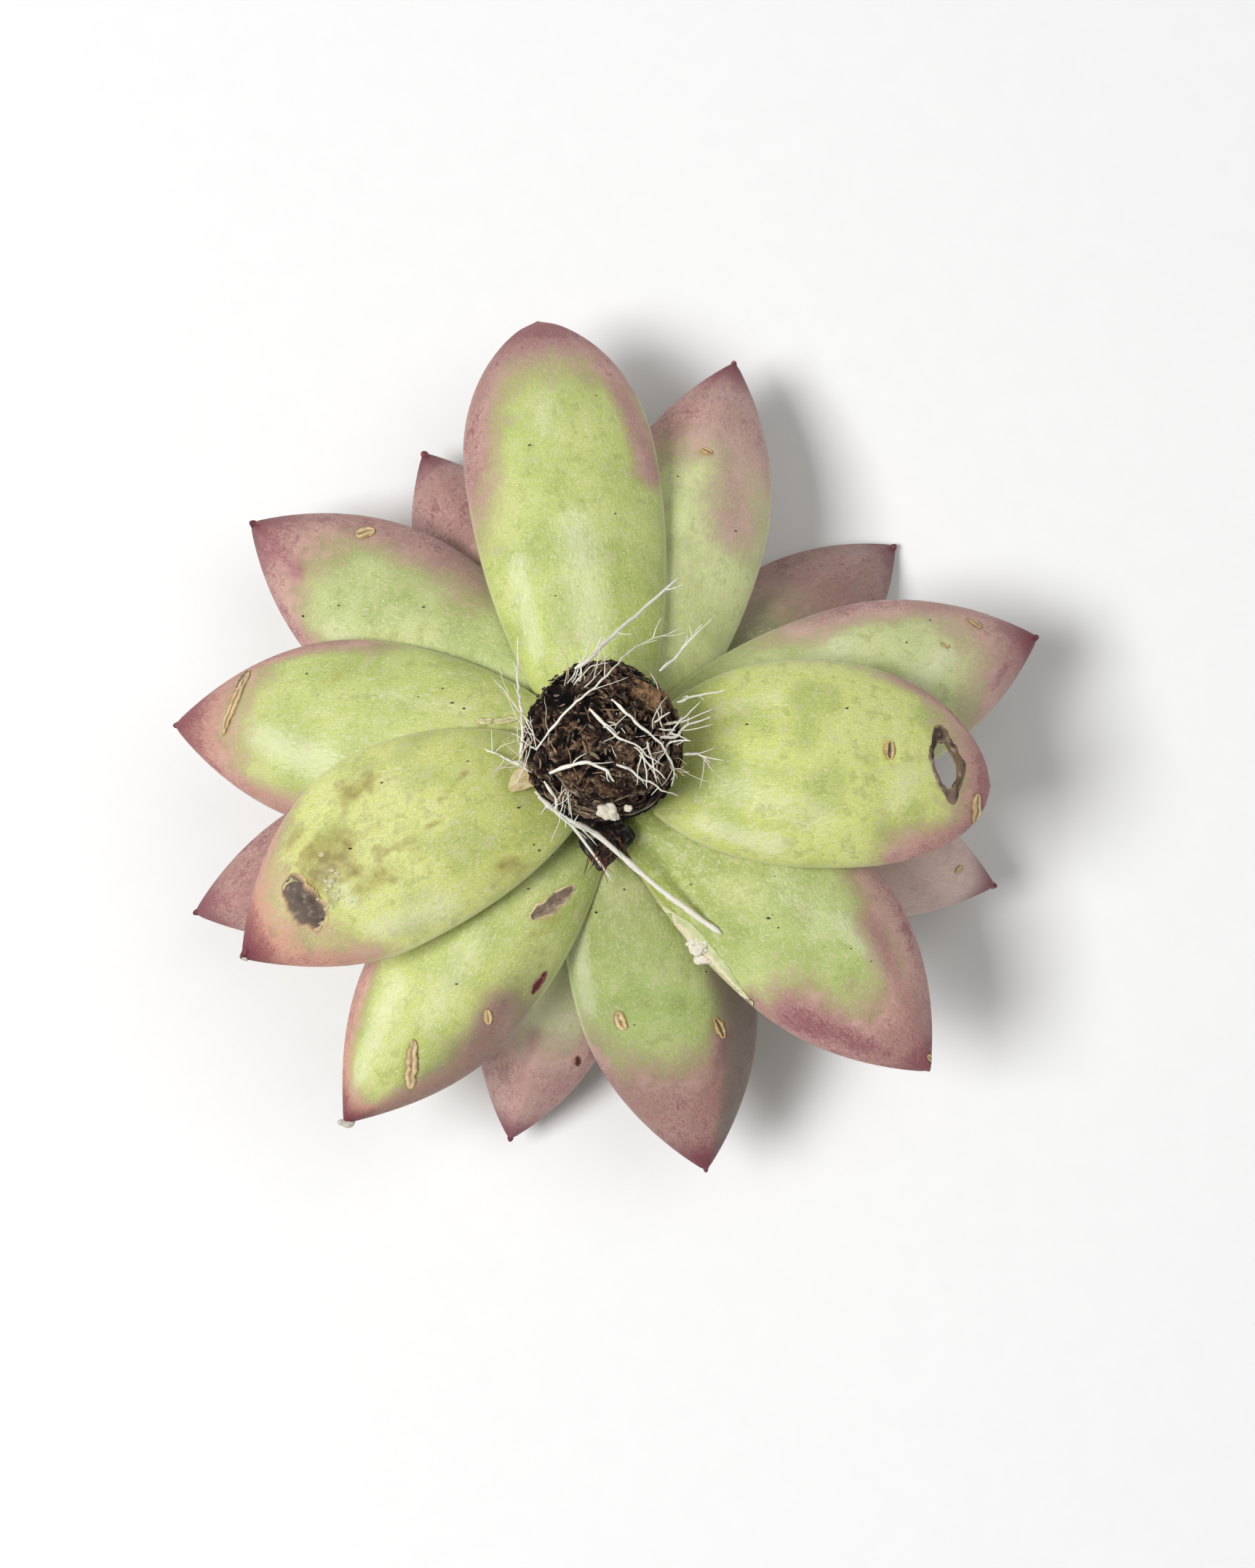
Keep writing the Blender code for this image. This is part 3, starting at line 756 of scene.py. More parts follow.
def leaf_body(leaf, rows, columns):
    look = LOOKS.get(leaf.age, INNER_LOOK)
    u, around = sphere_grid(rows, columns)
    side, above = np.cos(around), np.sin(around) > 0
    along, across = u * leaf.length, side * half_width(leaf, u)
    # Painted shade and painted light for the whole leaf, plus more painted shade towards the margins that
    # are set to lie in shadow.
    shade = np.where(side > 0, *look.shade)
    painted_shading = look.painted_shading + shade * ease(0.25, 0.75, np.abs(side)) * ease(0.2, 0.5, u)
    lobes, pink = marked(BLUSHES, leaf, u, side)
    stains = marked(STAINS, leaf, u, side)[0]
    values = {
        "place": stack(along, across, 4.0 * np.sin(around) + 40.0 * leaf.age),
        "flesh": blend(look.base, look.flesh, ease(0.15, 0.5, u)),
        "blush": np.maximum(blush_of(leaf, look, u, across), lobes * above),
        "warm": look.warm * ease(0.4, 0.92, u),
        "painted_shading": np.clip(painted_shading, -1.0, 1.0),
        "bruise": np.maximum(bruise_of(leaf, along, across), stains) * above,
        # pale holds the painted highlights.
        "pale": marked(PAINTED_HIGHLIGHTS, leaf, u, side)[0] * above,
        "tip": look.point * (1 - ease(*DARK_TIP, (1 - u) * leaf.length)),
        "pink": pink * above,
        "edge": half_width(leaf, u) - np.abs(across),
    }
    return Body(leaf_points(leaf, u, around), sphere_faces(rows, columns), values)


def add_leaves(material):
    leaves = [*OUTER_LEAVES, *map(inner_leaf, range(INNER_FIRST, INNER_LAST + 1))]
    for number, leaf in enumerate(leaves, start=1):
        body = leaf_body(leaf, *(OUTER_GRID if leaf.age < INNER_FIRST else INNER_GRID))
        name = f"leaf_{number:02d}"
        piece = add_piece(f"fleshy_{name}", body, material, "leaf", name)
        if leaf.age == HOLED_LEAF_AGE:
            cut_hole(piece, body)


# The eaten hole ------------------------------------------------------------------------


def hole_circle():
    """The hole's corners as angles, and on a circle of radius 1."""
    angle = np.arange(HOLE_CORNERS) * 2 * np.pi / HOLE_CORNERS
    return angle, stack(np.cos(angle), np.sin(angle), 0)


def hole_ring(grow=1.0, wobble=0.08):
    """The ragged outline of the hole in mm, seen from above."""
    circle = hole_circle()[1]
    ragged = grow + wobble * fractal(circle * 3, 1.6, 21) + 0.04 * noise(circle * 9, 1.0, 22)
    x, y = (circle[:, :2] * ragged[:, None] * HOLE_SIZE / 2).T
    turn = math.radians(HOLE_TURN)
    east = AXIS[0] + HOLE_PLACE[0] + x * math.cos(turn) - y * math.sin(turn)
    north = AXIS[1] + HOLE_PLACE[1] + x * math.sin(turn) + y * math.cos(turn)
    return stack(east, north)


def nearest(points, targets):
    """The number of the closest target to each point, worked out some points at a time."""
    parts = np.array_split(points, len(points) // 40 + 1)
    return np.concatenate([((p[:, None] - targets) ** 2).sum(-1).argmin(1) for p in parts])


def cut_hole(piece, body):
    """Cuts the ragged hole, then gives the new points the values of the nearest old ones."""
    ring, n = hole_ring(), HOLE_CORNERS
    ends = (HOLE_Z - HOLE_DEPTH / 2, HOLE_Z + HOLE_DEPTH / 2)
    points = [(*corner, AXIS[2] + z) for z in ends for corner in ring]
    faces = [[i, (i + 1) % n, n + (i + 1) % n, n + i] for i in range(n)]
    faces += [list(range(n))[::-1], list(range(n, 2 * n))]
    post = add_object("hole_post", new_mesh("hole_post", points, faces))
    cut = piece.modifiers.new("eaten_hole", "BOOLEAN")
    cut.operation, cut.solver, cut.object = "DIFFERENCE", "EXACT", post
    graph = bpy.context.evaluated_depsgraph_get()
    mesh = bpy.data.meshes.new_from_object(piece.evaluated_get(graph))
    piece.modifiers.remove(cut)
    bpy.data.objects.remove(post)
    after = np.empty(len(mesh.vertices) * 3, np.float32)
    mesh.vertices.foreach_get("co", after)
    near = nearest(after.reshape(-1, 3), body.points * MM)
    write_values(mesh, {name: array[near] for name, array in body.values.items()})
    piece.data = mesh


def rim_body(leaf, sections=18):
    """The dried, curled edge of the hole: a closed ring with an uneven section."""
    angle, circle = hole_circle()
    inner = hole_ring()
    away = inner - hole_ring(0.0, 0.0).mean(0)
    away /= np.linalg.norm(away, axis=1)[:, None]
    right = ease(-0.2, 0.8, np.cos(angle))
    reach = 0.4 + 0.45 * right + 1.5 * np.sin(angle) ** 6 + 0.26 * fractal(circle * 3, 1.2, 25)
    reach = np.maximum(reach, 0.16)
    u, across = np.meshgrid(np.linspace(0.68, 0.95, 260), np.linspace(-0.6, 0.6, 300), indexing="ij")
    skin = leaf_points(leaf, u, np.arccos(across)).reshape(-1, 3)
    points, edge = [], []
    for k in range(sections):
        turn = 2 * np.pi * k / sections
        up = math.sin(turn)
        out = -0.08 + (reach + 0.08) * (1 + math.cos(turn)) / 2
        spot = inner + away * out[:, None]
        share = np.clip(out / reach, 0, 1)
        curl = 0.22 * np.sin(np.pi * share**0.6) + 0.06 * noise(circle * 6, 0.6, 30 + k)
        rise = curl * up - 0.03 if up >= 0 else (2.6 - 2.1 * share) * up
        points.append(stack(*spot.T, skin[nearest(spot, skin[:, :2]), 2] + rise))
        edge.append(share)
    points, edge = np.stack(points, 1).reshape(-1, 3), np.stack(edge, 1).ravel()
    faces = []
    for i, k in itertools.product(range(HOLE_CORNERS), range(sections)):
        a, b, after = i * sections, (i + 1) % HOLE_CORNERS * sections, (k + 1) % sections
        faces.append((a + k, b + k, b + after, a + after))
    patch = tone(points, 0.7, 49)
    shade = blend("3A281C", "7C6450", ease(0.1, 0.7, patch))
    shade = blend(shade, "8E7C74", 0.5 * np.repeat(1 - right, sections) * ease(0.4, 0.7, patch))
    shade = blend(shade, "A88A62", ease(0.7, 1.0, edge))
    return Body(points, faces, {"shade": shade, "place": points})


# Scars ---------------------------------------------------------------------------------


def scar_body(scar, leaf, rows=44, columns=36):
    """A closed sliver on the leaf's back: the top is seen, and the bottom is in the leaf."""
    kind = SCAR_KINDS[scar.kind]
    large, open_wound = scar.kind == "pit", scar.kind in ("pit", "sunken")
    share, around = sphere_grid(rows, columns)
    x = 2 * share - 1
    spot = stack(x * scar.length, 0, scar.along)
    sides = stack(x * scar.length / 2, np.sign(np.cos(around)), scar.across)
    outline = np.maximum(1 - x * x, 0.0) ** scar.blunt
    ragged = 1 + 0.2 * noise(sides, 1.6 if large else 0.55, 7) + 0.08 * noise(sides, 0.25, 8)
    y = (np.cos(around) * ragged + 0.18 * noise(spot, 1.5, 9)) * outline
    edge = np.maximum(np.abs(np.cos(around)), ease(0.72, 1.0, np.abs(x)))
    slit = kind.slit * (1 + 0.5 * noise(sides, 0.8, 10))
    low = 1 - ease(0.6 * slit, 1.35 * slit, edge)
    fold_at = 0.25 + 0.5 * noise(spot, 1.6, 14)
    fold = np.exp(-(((np.cos(around) - fold_at) / 0.1) ** 2)) * open_wound * low
    dx, dy = x * scar.length / 2, y * scar.width / 2
    fine = stack(dx, dy, scar.along)
    lift = mix(kind.rim * (0.7 + 0.5 * noise(sides, 0.4, 11)), kind.middle, low)
    lift = lift + (0.015 if large else 0.035) * noise(fine, 0.35, 12)
    lift = lift * ease(0.0, 0.25, 1 - edge) - 0.12 * fold
    lift = np.where(np.sin(around) >= -1e-9, lift, UNDER_SKIN)
    turn = math.radians(scar.turn)
    along = scar.along + dx * math.cos(turn) - dy * math.sin(turn)
    across = scar.across + dx * math.sin(turn) + dy * math.cos(turn)
    streaks = noise(fine * (0.25, 1.0, 1.0), 0.3, 15) * open_wound
    mottle = tone(fine, 1.6 if large else 0.45, 13) + 0.28 * streaks
    shade = blend(kind.body, kind.dark, low * (0.75 + 0.25 * mottle))
    shade = blend(shade, kind.edge, ease(0.6, 0.95, edge))
    # Painted shade: darker along the fold's crease.
    shade = shade * (0.66 + 0.55 * mottle - 0.35 * fold)[:, None]
    return shaded(on_leaf(leaf, along, across, lift), rows, columns, shade)


def add_scars(material):
    for number, leaf in enumerate(OUTER_LEAVES, start=1):
        bodies = [scar_body(scar, leaf) for scar in SCARS if scar.age == leaf.age]
        if leaf.age == HOLED_LEAF_AGE:
            bodies.append(rim_body(leaf))
        if bodies:
            add_piece(f"scars_on_leaf_{number:02d}", bodies, material, "dried_leaf")


def tube_body(route, radii, sides, shade):
    """A closed round tube along the route. Its frames turn as little as they can."""
    ahead = np.gradient(route, axis=0)
    ahead /= np.linalg.norm(ahead, axis=1)[:, None]
    side = np.cross(ahead[0], (0.3, 0.5, 0.8))
    angle = np.arange(sides) * 2 * np.pi / sides
    rings = []
    for place, way, radius in zip(route, ahead, radii):
        side = side - way * (side @ way)
        side /= np.linalg.norm(side)
        ring = np.outer(np.cos(angle), side) + np.outer(np.sin(angle), np.cross(way, side))
        rings.append(place + radius * ring)
    points = np.concatenate([route[:1], *rings, route[-1:]])
    return shaded(points, len(route) + 1, sides, shade)


def lump_body(centre, size, seed, shade, rows=14, columns=18, rough=0.28):
    """A rough crumb."""
    ball = ball_grid(rows, columns)
    ball = ball * (1 + rough * fractal(ball, 0.8, seed))[:, None]
    return shaded(centre + ball * size, rows, columns, shade)


def tip_nub(leaf, seed):
    """The short dark point that ends a leaf."""
    u = np.array([0.965, 0.997])
    spine = (leaf_points(leaf, u, 0 * u) + leaf_points(leaf, u, 0 * u + np.pi)) / 2
    way = (spine[1] - spine[0]) / np.linalg.norm(spine[1] - spine[0])
    share = np.linspace(0, 1, 18)
    route = spine[1] + way * mix(-1.5, 0.32, share)[:, None]
    radii = 0.46 * np.sqrt(1 - share**2.6) * (1 + 0.25 * noise(route, 0.5, seed + 3))
    nub = tube_body(route + 0.12 * wander(route, 0.8, seed), radii + 0.02, 16, 0.0)
    nub.values["shade"] = blend("5A1C2E", "8E4A50", tone(nub.points, 0.45, seed + 4))
    return nub


def add_tip_nubs(material):
    nubs = [tip_nub(leaf, 500 + leaf.age) for leaf in OUTER_LEAVES if LOOKS[leaf.age].point > 0.5]
    add_piece("leaf_tip_points", nubs, material, "leaf")


def torn_margin(leaf, rows=150, columns=30):
    """The dry, ragged strip where a leaf's margin was torn, with a pale curl at its middle."""
    share, around = sphere_grid(rows, columns)
    along = mix(*TORN_ALONG, share)
    outer = 0.5 - 0.5 * np.cos(around)
    half = TORN_WIDTH / 2 * (np.minimum(1, 3.5 * share) * np.minimum(1, 1.9 * (1 - share))) ** 0.8
    line = stack(along, 0, 0)
    jag = 0.34 * noise(line, 1.1, 41) + 0.22 * noise(line, 0.42, 42) + 0.1 * noise(line, 0.2, 43)
    inner_jag = 0.2 * noise(line, 1.6, 44) + 0.08 * noise(line, 0.5, 45)
    across = half * (1 + np.cos(around)) - half_width(leaf, along / leaf.length)
    across = across + mix(inner_jag, jag, outer) * ease(0, 0.05, share) * ease(0, 0.05, 1 - share)
    spot = stack(along, across, 0)
    rough = noise(spot, 0.55, 46) + 0.5 * noise(spot, 0.25, 47)
    lift = (0.14 + 0.34 * outer**3 + 0.12 * rough) * np.abs(np.sin(around)) ** 0.4
    lift = np.where(np.sin(around) >= -1e-9, lift, UNDER_SKIN)
    shade = blend("B4C482", "DCE0B0", tone(spot, 0.8, 48))
    shade = blend(shade, "F0E6C4", ease(0.4, 0.7, outer))
    shade = blend(shade, "8C7440", ease(0.93, 1.0, outer) * 0.6)
    yield shaded(on_leaf(leaf, along, across, lift), rows, columns, shade)
    for number, (place, side, size) in enumerate(TORN_CURLS):
        at = spot_on_leaf(leaf, place, -side * half_width(leaf, place / leaf.length), 0.3)
        size = (size, size * 0.8, size * 0.7)
        yield lump_body(at, size, 56 + number, colour("EEE8D6"), 26, 32, 0.55)


# Stem ----------------------------------------------------------------------------------


def stem_body(rows=330, columns=270):
    """The stem, from its growing tip up to the rough knob."""
    share, around = sphere_grid(rows, columns)
    height = mix(GROWING_TIP_Z, KNOB[2] + KNOB_HALF_HEIGHT, share**0.72)
    over = (height - KNOB[2]) / KNOB_HALF_HEIGHT
    round_part = KNOB_RADIUS * np.sqrt(np.maximum(1 - over * over, 0.0))
    neck = np.where(height < KNOB[2], NECK_RADIUS, 0.0)
    lumps = 1 + 0.03 * np.sin(3 * around + 0.5 * height) + 0.02 * np.sin(7 * around - height)
    radius = np.where(height > NECK_Z, np.maximum(neck, round_part) * lumps, stem_radius(height))
    lean = np.clip((height - NECK_Z) / (KNOB[2] - NECK_Z), 0.0, 1.0)
    east = lean * KNOB[0] + radius * np.cos(around)
    north = lean * KNOB[1] + radius * np.sin(around)
    skin = AXIS + stack(east, north, height)
    outward = skin - AXIS - KNOB
    outward[height < KNOB[2]] *= (1, 1, 0.35)
    outward /= np.maximum(np.linalg.norm(outward, axis=1), 1e-6)[:, None]

    bent = skin + 1.5 * stack(*(fractal(skin, 3.2, 60 + k) for k in range(3)))
    ridges = 1 - np.abs(noise(bent, 1.15, 64)) * 1.7
    curls = 1 - np.abs(noise(bent * (1, 1, 1.8), 0.62, 65)) * 1.7
    grain = noise(skin, 0.3, 66)
    wrinkles = np.sin(5.2 * skin[:, 2] + 4.2 * noise(skin, 2.0, 67) + 0.8 * around)
    below = 1 - ease(-0.15, 0.3, over)
    pits = ease(0.3, 0.75, noise(skin, 2.1, 68)) * (1 - below)
    swell = 0.45 * noise(skin, 3.4, 69) * (1 - below)
    upper = 0.42 * ridges + 0.3 * curls + 0.08 * grain
    lower = 0.24 * wrinkles + 0.22 * curls + 0.05 * grain
    rough = mix(upper, lower, 0.75 * below) - 0.95 * pits
    amount = ease(NECK_Z - 4, NECK_Z + 1.5, height) * ease(0.0, 0.02, 1 - share)
    # Painted shade: the knob's left side and the front of its underside, under the overhang, are made
    # darker.
    painted_shade_side = ease(0.35, 0.95, outward @ (-0.8, 0.45, -0.25)) + 0.8 * (below * (outward[:, 1] < 0))
    from_tan = ((skin - AXIS - KNOB - TAN_PLACE) ** 2).sum(-1)
    values = {
        "place": skin,
        "relief": np.clip(0.48 + 1.1 * (rough - 0.34) - 0.3 * painted_shade_side, 0, 1),
        "tan": np.exp(-from_tan / TAN_RADIUS**2),
    }
    points = skin + outward * ((rough - 0.25 + swell) * amount)[:, None]
    return Body(points, sphere_faces(rows, columns), values)


def knob_surface(way, out=0.0):
    """The point of the knob's surface in this direction from its centre."""
    way = way / np.linalg.norm(way, axis=-1, keepdims=True)
    shape = np.array([KNOB_RADIUS, KNOB_RADIUS, KNOB_HALF_HEIGHT])
    length = 1 / np.linalg.norm(way / shape, axis=-1, keepdims=True)
    return AXIS + KNOB + way * (length + out)


def bark_flakes(random, count=620, grid=8):
    """Thin curled flakes that stand off the knob."""
    share, around = sphere_grid(grid, grid)
    x = 2 * share - 1
    wide = np.sqrt(np.maximum(1 - x * x, 0))
    for _ in range(count):
        way = random.normal(size=3)
        way[2] = abs(way[2]) * 1.1 - 0.35
        out = way / np.linalg.norm(way)
        at = knob_surface(way, random.uniform(-0.15, 0.3))
        side = np.cross(out, random.normal(size=3) + (0, 0, 2.5 * (out[1] < 0.1)))
        side /= np.linalg.norm(side)
        length, width = random.uniform(0.5, 1.6), random.uniform(0.16, 0.48)
        light = random.uniform()
        if random.uniform() < 0.22:
            length, width, light = length * 1.3, width * 0.5, random.uniform(0.8, 1.3)
        curl, lean = random.uniform(0.0, 0.35), random.uniform(-0.5, 0.9)
        a, b = x * length / 2, np.cos(around) * wide * width / 2
        c = curl * (x * x) * length / 2 + lean * b + np.sin(around) * wide * 0.05
        c = c + 0.05 * noise(stack(a, b, random.uniform(0, 50)), 0.3, 70)
        points = at + np.outer(a, side) + np.outer(b, np.cross(out, side)) + np.outer(c, out)
        shade = blend("120A06", "94795E", light**2.4) * random.uniform(0.7, 1.1)
        yield shaded(points, grid, grid, shade)


def bark_layers(count=26):
    """Thin edges of bark, one over another round the front of the knob."""
    random = np.random.default_rng(23)
    share = np.linspace(0, 1, 60)
    for number in range(count):
        start, span = random.uniform(-150, -30), random.uniform(30, 80)
        turn = np.radians(start + span * share)
        way = stack(np.cos(turn), np.sin(turn), random.uniform(-0.15, 0.85))
        line = stack(turn * KNOB_RADIUS, 0, 5 * number)
        route = knob_surface(way, random.uniform(-0.1, 0.12))
        route = route + 0.34 * wander(line, 1.8, 110 + number, 9)
        radii = random.uniform(0.07, 0.17) * (1 + 0.45 * noise(line, 0.9, 140 + number))
        shade = blend("4C3828", "B09A7E", random.uniform() ** 1.3)
        yield tube_body(route, radii * np.sin(np.pi * share) ** 0.4 + 0.02, 6, shade)


def stub_body(rows=60, columns=64):
    """The dried leaf stub under the knob, wrinkled lengthwise."""
    u, around = sphere_grid(rows, columns)
    swell = np.sin(np.pi * u) ** 0.5
    wrinkle = 0.16 * np.sin(9 * around + 2.5 * np.sin(7 * u)) + 0.1 * np.sin(23 * around)
    line = stack(u * 5, np.cos(around) * 3, np.sin(around))
    points = leaf_points(DRIED_STUB, u, around, wrinkle * swell)
    points = points + 0.45 * wander(line, 1.6, 81) * swell[:, None]
    points[:, 0] -= 0.62 * points[:, 0] * ease(0.35, 1.0, u) + 0.9 * ease(0.3, 1.0, u)
    light = tone(line, 0.45, 82)
    # Painted shadow: near black towards its base, under the knob's overhang.
    shade = blend("0A0604", "6E5F50", light**1.6 * ease(0.5, 0.9, u))
    shade = blend(shade, "3A1C10", 0.5 * ease(0.55, 0.8, light) * (1 - ease(0.4, 0.9, u)))
    return shaded(points, rows, columns, shade)


def bent_line(start, way, bend, length, count):
    """A route that sets out this way and bends more and more."""
    steps = np.linspace(0, 1, count)[:, None]
    return start + (way * steps + bend * steps**2) * length


def stub_fibres(random, count=44):
    """Short brown fibres round the dried stub."""
    for _ in range(count):
        start = AXIS + (random.uniform(-2.6, 1.2), -random.uniform(6.6, 9.4), random.uniform(36.6, 38.4))
        way = np.array([random.normal(0, 0.6), -1.0, random.uniform(-0.5, 0.3)])
        length = random.uniform(0.8, 2.6)
        route = bent_line(start, way, 0.6 * random.normal(0, 0.5, size=3), length, 9)
        radii = np.linspace(random.uniform(0.06, 0.13), 0.02, 9)
        yield tube_body(route, radii, 5, blend("140A06", "8A4320", random.uniform() ** 2))


# Roots ---------------------------------------------------------------------------------


def smooth_route(points, steps):
    """More points between each two, on a Catmull-Rom curve through them."""
    points = [np.array(p, float) for p in points]
    ends = [2 * points[0] - points[1], *points, 2 * points[-1] - points[-2]]
    route = []
    for a, b, c, d in zip(ends, ends[1:], ends[2:], ends[3:]):
        for step in range(steps):
            t = step / steps
            bend = (2 * a - 5 * b + 4 * c - d) * t * t + (3 * (b - c) + d - a) * t**3
            route.append(b + ((c - a) * t + bend) / 2)
    return np.array([*route, points[-1]])


def root_body(route, radius, seed, sides=9, wobble=0.1, shade=colour("F8F3E6")):
    """A root that narrows to its end, with an uneven thickness and a slight wander."""
    share = np.linspace(0, 1, len(route))
    drift = wander(route, 1.3, seed) + 0.2 * wander(route, 0.55, seed + 10)
    route = route + drift * wobble * np.sin(np.pi * share)[:, None] ** 0.5
    uneven = 1 + 0.22 * noise(route, 0.7, seed + 3) + 0.1 * noise(route, 0.3, seed + 4)
    narrow = 0.85 if radius > 0.3 else 0.45
    radii = radius * mix(1.0, narrow, share) * uneven * np.sqrt(np.minimum((1 - share) / 0.03, 1))
    radii = radii * mix(0.55, 1.0, ease(0.0, 0.12, share))
    return tube_body(route, np.maximum(radii, 0.015), sides, shade)


def add_roots(random, material):
    """The main roots, each with a few short branches."""
    for number, root in enumerate(ROOTS, start=1):
        route = AXIS + KNOB + smooth_route(root.route, 16)
        thin, wobble = (1.1, 0.05) if number < 4 else (0.92, 0.2)
        bodies = [root_body(route, root.radius * thin, 100 + 7 * number, wobble=wobble)]
        for branch in range(random.integers(2, 6)):
            start = random.integers(len(route) // 8, len(route) - 6)
            way = route[start + 3] - route[start]
            way = way / np.linalg.norm(way) + random.normal(0, 0.7, size=3)
            way[2] = abs(way[2]) * 0.5 + 0.1
            length = random.uniform(0.7, 2.4) * (0.4 if number < 3 else 1.0)
            side = bent_line(route[start], way, random.normal(0, 0.35, size=3), length, 12)
            radius = root.radius * random.uniform(0.25, 0.45)
            bodies.append(root_body(side, radius, 300 + branch, 6, 0.05))
        name = f"root_{number:02d}"
        add_piece(f"strand_{name}", bodies, material, "root", name)


def root_hairs(random):
    for tuft in TUFTS:
        for _ in range(tuft.count):
            start = np.array(tuft.start) + random.normal(0, tuft.spread / 2, size=3)
            start = knob_surface(start, -0.25)
            way = np.array(tuft.way) + random.normal(0, tuft.fan / 2, size=3)
            out = (start - AXIS - KNOB) / np.linalg.norm(start - AXIS - KNOB)
            way = way / np.linalg.norm(way)
            way = way + out * max(0.25 - way @ out, 0)
            length = random.uniform(*tuft.length)
            bend = random.normal(0, 0.45, size=3) - (0, 0, 0.35)
            route = bent_line(start, way, 0.7 * bend, length, 16)
            radius = tuft.radius * random.uniform(0.6, 1.3)
            shade = blend("F7F2E6", "C9B28C", random.uniform() ** 3)
            yield root_body(route, radius, random.integers(400, 900), 6, 0.24, shade)


# Crumbs --------------------------------------------------------------------------------


def tilted(points, tilt):
    turn = np.array(Euler([math.radians(angle) for angle in tilt]).to_matrix())
    return points @ turn.T


def scale_body(rows=44, columns=60):
    """A dry papery scale: a thin, curled, ribbed fan."""
    share, around = sphere_grid(rows, columns)
    x = 2 * share - 1
    wide = np.maximum(1 - np.abs(x) ** 2.2, 0) ** 0.55 * mix(0.75, 1.0, ease(-0.8, 0.5, x))
    y = np.cos(around) * wide
    flat = stack(x, y, 0)
    ragged = 1 + 0.1 * noise(flat, 0.5, 90) * ease(0.5, 1.0, np.hypot(x, y))
    z = 0.22 * np.sin(around) * wide**0.5 + 0.75 * x * x - 0.45 * y * y
    z = z + 0.25 * noise(flat, 0.6, 91) + 0.08 * np.sin(14 * y)
    points = stack(x * ragged, y * ragged, z) * SCALE_SIZE / 2
    points = AXIS + KNOB + SCALE_CENTRE + tilted(points, SCALE_TILT)
    shade = blend("C9AE72", "EBDDB0", tone(flat, 0.4, 92))
    shade = blend(shade, "C08248", ease(0.2, 0.9, x) * 0.6)
    return shaded(points, rows, columns, shade)


def perlite_bodies(rows=40, columns=48):
    """A white, faceted grain and a smaller one beside it."""
    ball = ball_grid(rows, columns)
    cuts = PERLITE_CUTS / np.linalg.norm(PERLITE_CUTS, axis=1)[:, None]
    reach = np.min(0.74 / np.maximum(ball @ cuts.T, 0.55), axis=1)
    grain = ball * (reach * (1 + 0.2 * fractal(ball, 0.6, 95)))[:, None]
    middle = AXIS + KNOB + PERLITE_CENTRE
    points = middle + tilted(grain * PERLITE_SIZE / 2, PERLITE_TILT)
    shade = blend("CFC3A4", "F6F1E4", tone(ball, 0.5, 96) ** 0.5)
    small = lump_body(middle + (2.1, 0.3, 0.3), (0.42, 0.34, 0.3), 97, colour("EFE7D0"))
    return shaded(points, rows, columns, shade), small


def crumbs(random):
    """Grains of soil near the knob, dry bits at two leaf tips, and pale flecks on a stain."""
    by_age = {leaf.age: leaf for leaf in OUTER_LEAVES}
    for _ in range(SOIL_GRAINS):
        leaf = OUTER_LEAVES[random.integers(0, 10)]
        along = random.uniform(0.12, 0.75) * leaf.length
        at = spot_on_leaf(leaf, along, random.uniform(-0.6, 0.6) * leaf.width / 2, 0.02)
        size = random.uniform(0.05, 0.13)
        shade = blend("20160E", "6B4A2A", random.uniform() ** 2)
        stretch = (size * random.uniform(1, 2.2), size, size * 0.6)
        yield lump_body(at, stretch, random.integers(0, 99), shade, 6, 8)
    for number, (age, back, across, size) in enumerate(TIP_BITS):
        at = spot_on_leaf(by_age[age], by_age[age].length - back, across, 0.1)
        yield lump_body(at, (size * 1.5, size, size), 200 + number, colour("D8D2CA"))
    for number in range(FLECKS):
        along = FLECK_PLACE[0] + random.normal(0, 0.7)
        across = FLECK_PLACE[1] + random.normal(0, 1.5)
        at = spot_on_leaf(by_age[OLDEST], along, across, 0.03)
        size = random.uniform(0.1, 0.26)
        stretch = (size * 1.4, size, size * 0.6)
        yield lump_body(at, stretch, 210 + number, colour("DEDCB4"), 8, 10)


# Materials -----------------------------------------------------------------------------


